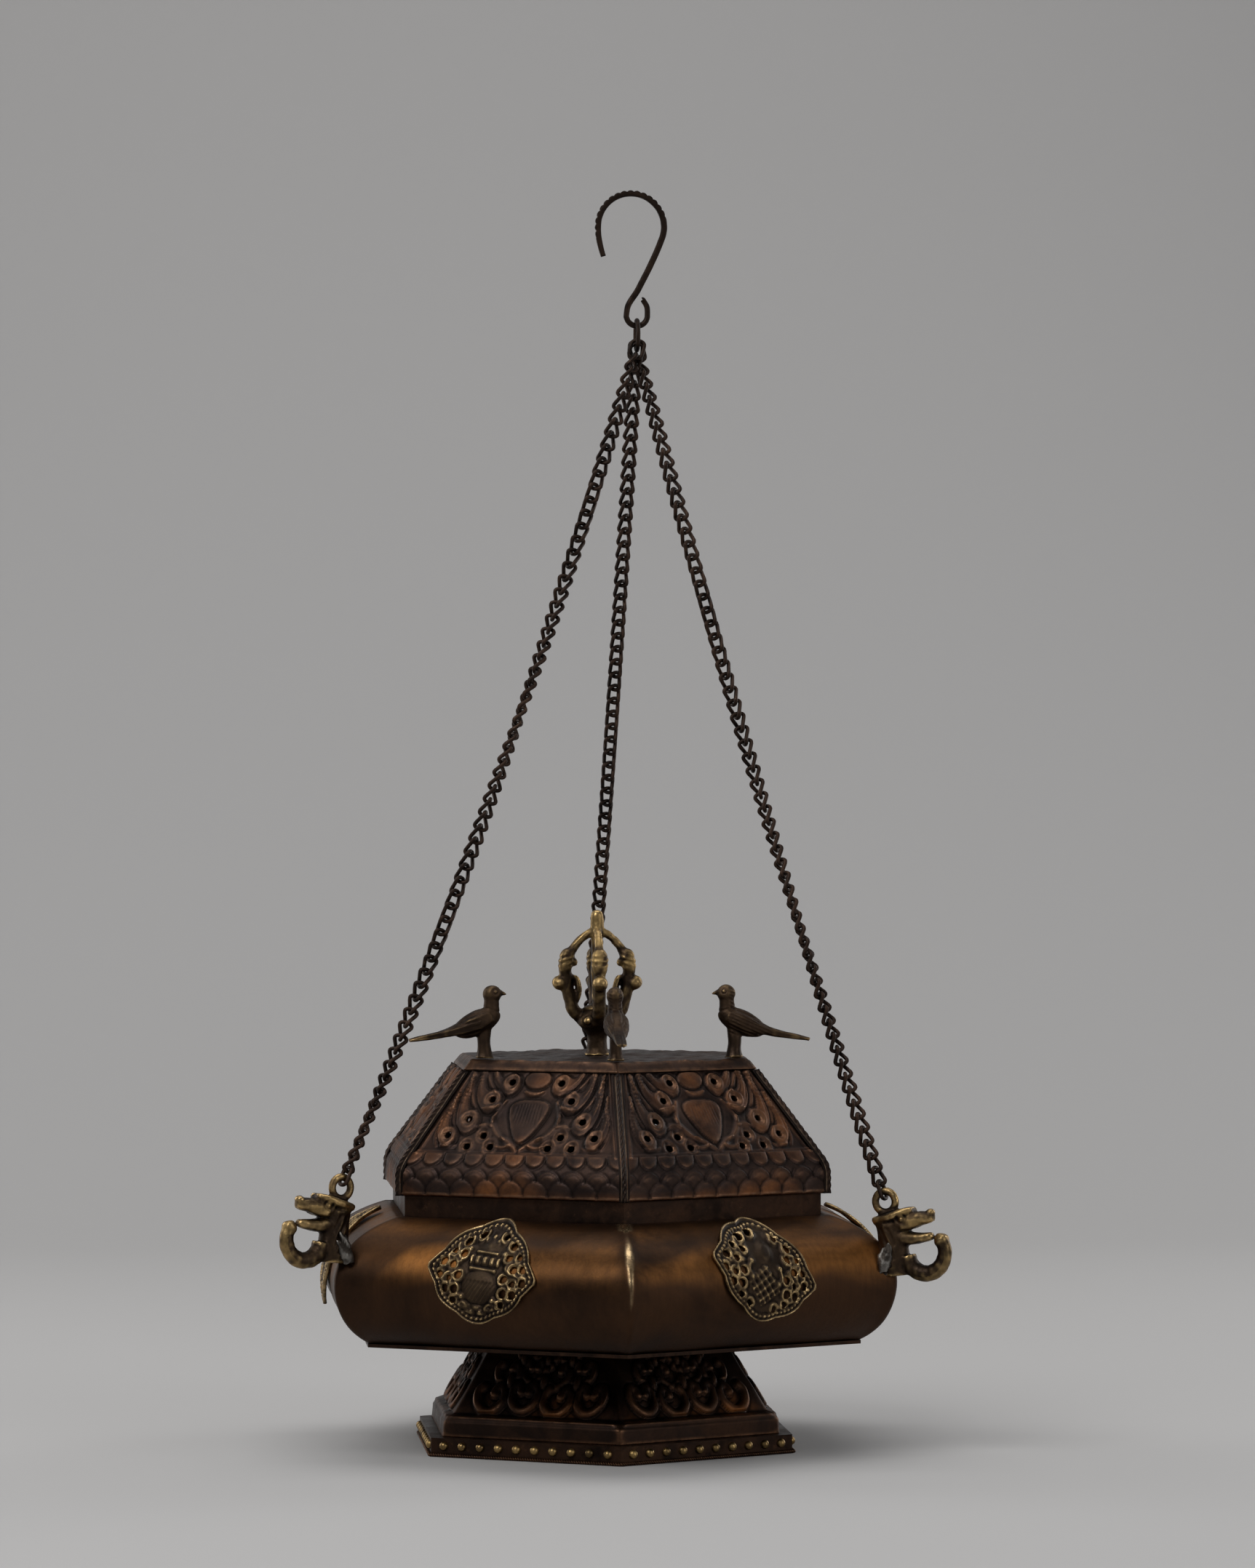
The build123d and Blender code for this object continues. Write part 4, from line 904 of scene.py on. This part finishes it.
def finial():
    profile = catmull([(4.6, -0.1), (4.0, 1.2), (3.5, 2.6), (3.45, 6.2), (4.6, 8.4), (6.6, 10.6), (6.9, 12.4),
                       (6.0, 14.2), (4.9, 15.2), (5.2, 16.0), (4.6, 16.8), (3.0, 17.6)], 5)
    centres = np.stack([0 * profile[:, 0], 0 * profile[:, 0], profile[:, 1]], 1)
    wide = np.stack([profile[:, 0], 0 * profile[:, 0], 0 * profile[:, 0]], 1)
    deep = np.stack([0 * profile[:, 0], profile[:, 0], 0 * profile[:, 0]], 1)
    parts = [
        loft(centres, wide, deep, 48),
        tube([(0, 0, 15, 1.8, 1.8), (0, 0, 20, 1.8, 1.8), (0, 0, 30, 2.2, 2.2), (0, 0, 38, 2.0, 2.0),
              (0, 0, 43, 2.0, 2.0)], square=0.6),
        tube([(0, 0, 41.8, 2.6, 2.6), (0, 0, 44, 2.35, 2.35), (0, 0, 48, 2.3, 2.3), (0, 0, 50, 1.7, 1.7),
              (0, 0, 50.7, 0.5, 0.5)]),
        tube([(0, 0, -5.4, 0.3, 0.3), (0, 0, -5.3, 1.5, 1.5), (0, 0, 0.5, 1.5, 1.5)]),
        tube([(0, 0, -3.4, 2.3, 2.3), (0, 0, -3.0, 2.4, 2.4), (0, 0, -2.5, 2.3, 2.3)]),
    ]
    prong = [
        tube([bar(5.0, 0, 12.5, 2.2), bar(8.2, 0, 15.6, 2.4), bar(9.6, 0, 19.6, 2.2),
              bar(10.6, 0, 24.0, 2.2), bar(11.0, 0, 28.5, 2.1)]),
        ball((12.9, 0, 25.2), (3.0, 2.7, 2.6), 10),
        tube([bar(8.4, 0, 17.0, 1.2), bar(7.0, 0, 20.6, 1.3), bar(6.5, 0, 23.8, 1.2),
              bar(7.4, 0, 26.8, 1.0), bar(9.0, 0, 27.2, 0.7)]),
        tube([(11.2, 0, 28.0, 2.0, 1.9), (11.2, 0, 31.0, 2.9, 2.5), (10.4, 0, 34.4, 2.9, 2.7),
              (9.2, 0, 36.4, 2.0, 1.9)], square=0.75),
        tube([bar(9.6, 0, 35.5, 1.8), bar(7.2, 0, 38.9, 1.55), bar(4.4, 0, 41.6, 1.45),
              bar(1.2, 0, 43.2, 1.6)]),
        ball((8.0, 0, 32.4), (1.2, 1.6, 1.5), 0),
    ]
    for degrees in (0, 90, 180, 270):
        parts += [(turned(points, degrees), faces) for points, faces in prong]
    points, faces, normals = cast(parts, 0.38, 2)
    x, y, z = points.T
    r = np.hypot(x, y)
    bearing = np.arctan2(y, x) - radians(55)
    near_eye = (bearing + pi / 4) % (pi / 2) - pi / 4
    eye = np.hypot(near_eye * 6.8, z - 12.2)
    lift = -0.4 * np.exp(-(((eye - 1.9) / 0.4) ** 2)) * (r < 8.2) + 0.3 * np.exp(-((eye / 0.9) ** 2)) * (r < 8.2)
    head = np.exp(-(((z - 33.0) / 2.2) ** 2)) * (r > 8)
    lift -= head * 0.35 * (0.5 + 0.5 * np.cos(z * 2 * pi / 1.9 + r))
    arm = np.clip((z - 36.5) / 2, 0, 1) * np.clip((44 - z) / 2, 0, 1) * (r > 2.6)
    lift -= arm * 0.16 * (0.5 + 0.5 * np.cos((z + r) * 2 * pi / 1.6))
    lift += lumps(points, 2.6, 0.2, 21) + lumps(points, 1.1, 0.06, 22)
    # Lighter brass on the top arms, round the outer heads and on the head band: rubbing together with painted
    # highlight.
    rubbed_and_sheen = np.clip((z - 37) / 4, 0, 1) + np.exp(-((r - 14) / 1.6) ** 2) + head
    rubbed_and_sheen = np.clip(rubbed_and_sheen * (0.7 + 2.4 * lumps(points, 3.0, 1.0, 80)), 0, 1)
    points = points + normals * lift[:, None] * np.clip((z + 0.5), 0, 1)[:, None] + np.array([-2.2, 0, PLATE_TOP_Z])
    piece("cast_finial", points, faces, "lid", CAST_METAL, "cast_brass", ["finial"], wear_and_shading=(14, 0.38), glow=rubbed_and_sheen)


finial()

BRACKETS = {"left": (-150, 108.3, 93.6), "right": (-30, 106.7, 87.7), "rear": (90, 107.5, 90.6)}


def eye_ring():
    """The bracket's ring, round the Y axis."""
    turn = np.linspace(0, 2 * pi, 41)
    ring_r, wire = 3.65, 1.35
    centres = np.stack([ring_r * np.cos(turn), 0 * turn, ring_r * np.sin(turn)], 1)
    outward = centres / ring_r
    points, faces = loft(centres, outward * wire, np.tile([[0, 1.15, 0]], (41, 1)), 18)
    return points, faces


def bracket(name, number):
    degrees, radius, height = BRACKETS[name]
    x, z = 14.5, -17.0
    turn = np.radians(np.linspace(190, 395, 11))
    swell = np.linspace(3.3, 2.35, 11)
    trunk = [(x + (9.95 - w) * cos(a), 0, z + (9.95 - w) * sin(a), w, w) for a, w in zip(turn, swell)]
    end = radians(35)
    tip = np.array([x + 7.6 * cos(end), 0, z + 7.6 * sin(end)])
    way = np.array([-sin(end), 0, cos(end)])
    bud = [tip - way * 1.6, tip - way * 0.2, tip + way * 1.2, tip + way * 2.8]
    parts = [
        eye_ring(),
        ball((2.8, 0, -8.6), (6.0, 4.0, 3.9), -10),
        tube([(-3.6, 0, -6.8, 3.4, 1.5), (1.5, 0, -5.4, 5.0, 1.6), (6.8, 0, -3.4, 4.9, 1.5),
              (10.6, 0, -2.4, 2.8, 1.1)], square=0.7),
        tube([(5.0, 0, -7.4, 3.9, 3.2), (9.0, 0, -6.4, 4.0, 2.9), (13.6, 0, -5.2, 3.2, 2.4),
              (16.6, 0, -5.0, 2.3, 1.9),
              (18.0, 0, -5.3, 1.1, 1.1)], square=0.8),
        ball((16.6, 0, -3.2), (1.7, 1.9, 1.4), 0),
        tube([(4.5, 0, -12.0, 3.7, 3.0), (9.5, 0, -12.3, 3.5, 2.3), (14.0, 0, -11.8, 2.9, 1.8),
              (16.9, 0, -11.2, 1.9, 1.4),
              (17.8, 0, -10.9, 0.8, 0.8)], square=0.8),
        tube([(9.0, 0, -12.0, 2.0, 1.0), (13.0, 0, -11.6, 1.6, 0.9), (16.0, 0, -11.0, 1.1, 0.7)]),
        tube([(2.2, 0, -7.5, 4.2, 5.6), (2.9, 0, -14.0, 4.1, 5.4), (3.2, 0, -20.0, 4.5, 5.6),
              (3.6, 0, -25.2, 4.0, 4.6)]),
        tube(trunk, around=24),
        tube([(*p, w, w) for p, w in zip(bud, (2.0, 2.6, 2.2, 0.5))], square=0.75, steps=3),
    ]
    points, faces, normals = cast(parts, 0.4, 2)
    px, py, pz = points.T
    lips = np.exp(-(((pz + 8.3 - 0.12 * (px - 8)) / 2.2) ** 2)) * (px > 7) * (np.abs(normals[:, 1]) > 0.3)
    lift = 0.25 * lips * (0.5 + 0.5 * np.cos((pz + 8.3) * 2 * pi / 2.6))
    eye = np.hypot(px - 7.2, pz + 5.4)
    lift += (0.5 * np.exp(-((eye / 0.9) ** 2)) - 0.35 * np.exp(-(((eye - 1.5) / 0.4) ** 2))) * (np.abs(py) > 1.8)
    mane = (px < 5) & (pz < -9) & (pz > -22)
    lift -= mane * 0.3 * (0.5 + 0.5 * np.cos((pz * 0.5 + px * 0.9) * 2 * pi / 2.6)) * np.abs(normals[:, 1])
    under = np.clip((-15 - pz) / 3, 0, 1) * (px > 6)
    lift -= under * 0.08 * (0.5 + 0.5 * np.cos(np.arctan2(pz - z, px - x) * 15))
    out = np.hypot(px - x, pz - z)
    # Lighter brass on the muzzle, along a band on each flank, on the scroll's outer edge and at one spot: rubbing
    # together with painted highlight.
    rubbed_and_sheen = lips * 0.9 + np.exp(-(((pz + 5.6 - 0.35 * px) / 1.8) ** 2)) * (px > -4) * (px < 10) * (np.abs(py) > 2.4)
    rubbed_and_sheen += (out > 8.2) * (out < 12) * (px > 10) * 0.75 + 0.8 * (np.hypot(px - 22, pz + 11.5) < 3.4)
    rubbed_and_sheen *= np.clip(0.75 + 2.2 * lumps(points, 3.4, 1.0, 70 + number), 0, 1)
    lift += lumps(points, 2.4, 0.2, 30 + number) + lumps(points, 1.0, 0.07, 40 + number)
    hole = np.hypot(px, pz) < 6
    points = points + normals * (lift * np.where(hole & (pz > -4), 0.25, 1))[:, None]
    piece(f"cast_bracket_{name}", placed(points, degrees, degrees, radius, height), faces, "censer", CAST_METAL,
          "cast_brass", [f"bracket_{name}"], wear_and_shading=(14, 0.4), glow=np.clip(rubbed_and_sheen, 0, 1))


for number, name in enumerate(BRACKETS):
    bracket(name, number)


def solder_lumps():
    """Rough solder, run in beside each bracket's neck."""
    parts = []
    for number, (degrees, radius, height) in enumerate(BRACKETS.values()):
        for side in (1, -1):
            points, faces = ball((0, 0, 0), (5.6, 2.2, 2.4), 75)
            points = points * (1 + lumps(points, 1.8, 0.5, 60 + number)[:, None]) + (1.4, 4.2 * side, -20.4)
            parts.append((placed(points, degrees, degrees, radius, height), faces))
    piece("solder_runs", *joined(parts), "censer", SOLDER_METAL, "solder", ["solder_seats"], wear_and_shading=(4, 0.25))


solder_lumps()

# ---- Chains ----
LINKS, LINK_WIRE, HALF_LENGTH, HALF_WIDTH, SHOULDER = 64, 0.7, 3.2, 2.2, 1.91
RING_AT, RING_RADIUS, FIRST_ABOVE, LAST_ABOVE = (11.75, 387.75), 5.2, 2.2, 4.2
CHAINS = {  # where each hangs on the ring, its sag, first link's turn, and extra twist
    "left": (-3.0, 4.5, -12, 180), "right": (0.5, 2.3, -16, 180), "rear": (3.2, 3.0, 16, 0)}


def link_line(turn):
    """Centre line of one closed link along Z, its two ends turned each way by an angle, with rounded bends."""
    x, y = HALF_WIDTH * cos(turn), HALF_WIDTH * sin(turn)
    arch = np.linspace(0, pi, 21)
    crown = np.stack([x * np.cos(arch), y * np.cos(arch), SHOULDER + (HALF_LENGTH - SHOULDER) * np.sin(arch)], 1)
    side = np.linspace((-x, -y, SHOULDER), (-x, y, -SHOULDER), 13)[1:-1]
    half = np.vstack([crown, side])
    line = np.vstack([half, half * (-1, 1, -1)])
    for _ in range(6):
        line = line + 0.5 * ((np.roll(line, 1, 0) + np.roll(line, -1, 0)) / 2 - line)
    return line * (1.03, 1.03, HALF_LENGTH / line[:, 2].max())


def link_skin(line, around=10):
    """A round wire swept along a closed line."""
    run = np.roll(line, -1, 0) - np.roll(line, 1, 0)
    run /= np.linalg.norm(run, axis=1, keepdims=True)
    out = line * (1, 1, 0.55)
    out -= run * (out * run).sum(1, keepdims=True)
    out /= np.linalg.norm(out, axis=1, keepdims=True)
    turn = np.arange(around) * 2 * pi / around
    skin = line[:, None] + LINK_WIRE * (np.cos(turn)[None, :, None] * out[:, None]
                                        + np.sin(turn)[None, :, None] * np.cross(run, out)[:, None])
    grid = np.arange(len(line) * around).reshape(len(line), around)
    ahead, beside = np.roll(grid, -1, 0), np.roll(grid, -1, 1)
    faces = np.stack([grid, ahead, np.roll(ahead, -1, 1), beside], -1).reshape(-1, 4)
    return skin.reshape(-1, 3), faces


def chain(name):
    """All links from the ring to a bracket's eye, on a curve that sags."""
    degrees, radius, height = BRACKETS[name]
    y, sag, first_turn, extra = CHAINS[name]
    drop = sqrt(RING_RADIUS**2 - y**2)
    hang = np.array([RING_AT[0], y, RING_AT[1] - drop])
    eye = np.array([radius * cos(radians(degrees)), radius * sin(radians(degrees)), height])
    along = (eye - hang) / np.linalg.norm(eye - hang)
    start, end = hang + along * (HALF_LENGTH - FIRST_ABOVE), eye - along * LAST_ABOVE
    inward = np.array([0, 0, -1]) + along * along[2]
    middle = (start + end) / 2 + inward / np.linalg.norm(inward) * 2 * sag
    fine = np.linspace(0, 1, 2001)[:, None]
    curve_points = start * (1 - fine) ** 2 + 2 * middle * fine * (1 - fine) + end * fine**2
    length = np.concatenate([[0], np.cumsum(np.linalg.norm(np.diff(curve_points, axis=0), axis=1))])
    share = np.interp(np.linspace(0, length[-1], LINKS), length, fine[:, 0])[:, None]
    centres = start * (1 - share) ** 2 + 2 * middle * share * (1 - share) + end * share**2
    down = (1 - share) * (middle - start) + share * (end - middle)
    down /= np.linalg.norm(down, axis=1, keepdims=True)

    def frame_at(k, level):
        x_dir = np.cross(level, down[k])
        x_dir /= np.linalg.norm(x_dir)
        return np.array([x_dir, np.cross(down[k], x_dir), down[k]])

    tangential = np.array([-sin(radians(degrees)), cos(radians(degrees)), 0])
    last = frame_at(LINKS - 1, (0, 1, 0))
    end_angle = np.degrees(np.arctan2(last[1] @ tangential, last[0] @ tangential))
    total = (end_angle - 90) % 180 + extra - first_turn
    middle_link, flat_link = link_skin(link_line(radians(40))), link_skin(link_line(0.0))
    parts = []
    for k in range(LINKS):
        ends = k in (0, LINKS - 1)
        points, faces = flat_link if ends else middle_link
        angle = end_angle * (k > 0) if ends else 135 + first_turn + total * (k - 1) / (LINKS - 3)
        level = (0, drop, y) if k == 0 else (0, 1, 0)
        parts.append((turned(points, angle) @ frame_at(k, level) + centres[k], faces))
    piece(f"links_{name}", *joined(parts), "censer", CHAIN_METAL, "chain_metal", [f"chain_{name}"], wear_and_shading=(3, 0.2))


for name in CHAINS:
    chain(name)

# ---- Hook ----
HOOK_AT = np.array([9.7, 0, 425.8])


def hook():
    """A flat strip with a notched outer edge, bent to a hook, that runs down into an eye of wire."""
    r = 10.5 + 1.1
    rows = []
    for t in np.linspace(0, 1, 8, endpoint=False):
        rows.append((-9.7 - 2.15 * sin(t * pi / 2) + 0.25 * t, 0, -10.5 * (1 - t), 1.15, 0.9 + 0.2 * t))
    for a in np.radians(np.linspace(180, -20, 60)):
        rows.append((r * cos(a), 0, r * sin(a), 1.2, 1.1))
    for t in np.linspace(0.12, 1, 9):
        a = radians(-20)
        start, end = np.array([r * cos(a), r * sin(a)]), np.array([2.0, -22.9])
        mid = start + np.array([sin(a), -cos(a)]) * 8.2
        x, z = start * (1 - t) ** 2 + 2 * mid * t * (1 - t) + end * t**2
        rows.append((x, 0, z, 1.2 - 0.1 * t, 1.1))
    ex, ez, er = 2.05, -31.1, 3.7
    rows.append((-0.9, 0, -27.4, 1.05, 1.05))
    for a in np.radians(np.linspace(180, 360, 14)):
        rows.append((ex + er * cos(a), 0, ez + er * sin(a), 1.0, 1.0))
    rows += [(5.6, 0, -28.2, 1.0, 1.0), (4.3, 0, -25.8, 0.95, 0.95), (4.1, 0, -25.5, 0.8, 0.8)]
    line = catmull(rows, 7)
    centres = line[:, :3]
    run = np.gradient(centres, axis=0)
    run /= np.linalg.norm(run, axis=1, keepdims=True)
    length = np.concatenate([[0], np.cumsum(np.linalg.norm(np.diff(centres, axis=0), axis=1))])
    turn = np.arange(28) * 2 * pi / 28
    wire = np.clip((centres[:, 2] < -25.0) * 1.0, 0, 1)[:, None]
    power = 0.55 + 0.45 * wire
    c = np.sign(np.cos(turn)) * np.abs(np.cos(turn)) ** power
    s = np.sign(np.sin(turn)) * np.abs(np.sin(turn)) ** power
    side = np.array([0, 1.0, 0])
    out = np.cross(side, run)
    outer = np.clip(-s, 0, 1) if np.dot(out[30], centres[30]) < 0 else np.clip(s, 0, 1)
    notched = np.clip((length - 6) / 3, 0, 1) * np.clip((46 - length) / 5, 0, 1)
    scallop = np.abs(np.sin(length * pi / 2.3)) ** 0.6
    depth = (notched * 0.55 * (1 - scallop))[:, None] * outer
    rings = (centres[:, None] + side * (c * line[:, 3:4])[..., None]
             + out[:, None] * (s * (line[:, 4:5] - depth))[..., None])
    count, around = rings.shape[:2]
    grid = np.arange(count * around).reshape(count, around)
    after = np.roll(grid, -1, 1)
    faces = np.stack([grid[:-1], after[:-1], after[1:], grid[1:]], -1).reshape(-1, 4).tolist()
    faces += [grid[0].tolist()[::-1], grid[-1].tolist()]
    points = rings.reshape(-1, 3)
    points = points + lumps(points, 3, 0.08, 50)[:, None] * 0.7
    piece("hook_bent", points + HOOK_AT, faces, "hook", HOOK_METAL, "hook_strip", ["hook"], wear_and_shading=(5, 0.16))


hook()

# ---- Metals of the CAD nodes that are shown as they are ----
SHOWN_METAL = {"top_link": CHAIN_METAL, "foot_beads": BEAD_METAL, "bowl_collar": PLAIN_METAL,
               "bowl_floor": PLAIN_METAL, "foot_band": PLAIN_METAL, "finial_washer": PLAIN_METAL}
for name, material in SHOWN_METAL.items():
    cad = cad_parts[name]
    for slot in cad.material_slots:
        slot.material = material

# ---- Floor, light and camera ----
FLOOR_Z = AXIS[2]


def sweep_backdrop():
    """A pale floor that curves up into a backdrop."""
    bend = [(0.9 + 0.7 * sin(a), 0.7 - 0.7 * cos(a)) for a in np.linspace(0.1, pi / 2, 14)]
    line = [(-2.6, 0.0), (0.9, 0.0), *bend, (1.6, 3.2)]
    points = [(x, y, FLOOR_Z + z) for y, z in line for x in (-4.0, 4.0)]
    faces = [(2 * k, 2 * k + 1, 2 * k + 3, 2 * k + 2) for k in range(len(line) - 1)]
    mesh = bpy.data.meshes.new("backdrop")
    mesh.from_pydata(points, [], faces)
    mesh.polygons.foreach_set("use_smooth", [True] * len(mesh.polygons))
    made = bpy.data.objects.new("backdrop", mesh)
    bpy.context.scene.collection.objects.link(made)
    material = bpy.data.materials.new("backdrop_paper")
    material.use_nodes = True
    paper = material.node_tree.nodes["Principled BSDF"]
    paper.inputs["Base Color"].default_value = (0.5, 0.49, 0.48, 1)
    paper.inputs["Roughness"].default_value = 0.9
    mesh.materials.append(material)


sweep_backdrop()


def softbox(name, place, aim, size, power, colour=(1, 1, 1)):
    data = bpy.data.lights.new(name, "AREA")
    data.shape, data.size, data.size_y = "RECTANGLE", *size
    data.energy, data.color = power, colour
    made = bpy.data.objects.new(name, data)
    bpy.context.scene.collection.objects.link(made)
    made.location = place
    made.rotation_euler = (Vector(aim) - Vector(place)).to_track_quat("-Z", "Y").to_euler()


MIDDLE = (0.0, 0.0, -0.25)
softbox("key", (-0.9, -1.1, 0.9), MIDDLE, (0.9, 0.9), 13)
softbox("fill", (1.3, -1.2, 0.25), MIDDLE, (0.9, 1.2), 5.5)
softbox("top", (0.0, 0.15, 1.3), MIDDLE, (1.4, 1.2), 10)
softbox("back_left", (-1.2, 0.7, 0.2), MIDDLE, (0.5, 1.2), 5)
softbox("back_right", (1.2, 0.7, 0.2), MIDDLE, (0.5, 1.2), 5)

world = bpy.data.worlds.new("studio")
bpy.context.scene.world = world
world.use_nodes = True
world.node_tree.nodes["Background"].inputs["Color"].default_value = (0.9, 0.93, 1.0, 1)
world.node_tree.nodes["Background"].inputs["Strength"].default_value = 0.17

camera = bpy.data.objects.new("camera", bpy.data.cameras.new("camera"))
bpy.context.scene.collection.objects.link(camera)
camera.location = (-0.1859, -2.1107, -0.1951)
camera.rotation_euler = (pi / 2, 0, radians(-5))
camera.data.lens = 139.0
camera.data.sensor_width = 36.0
camera.data.clip_start = 0.1
bpy.context.scene.camera = camera
bpy.context.scene.view_settings.view_transform = "Standard"
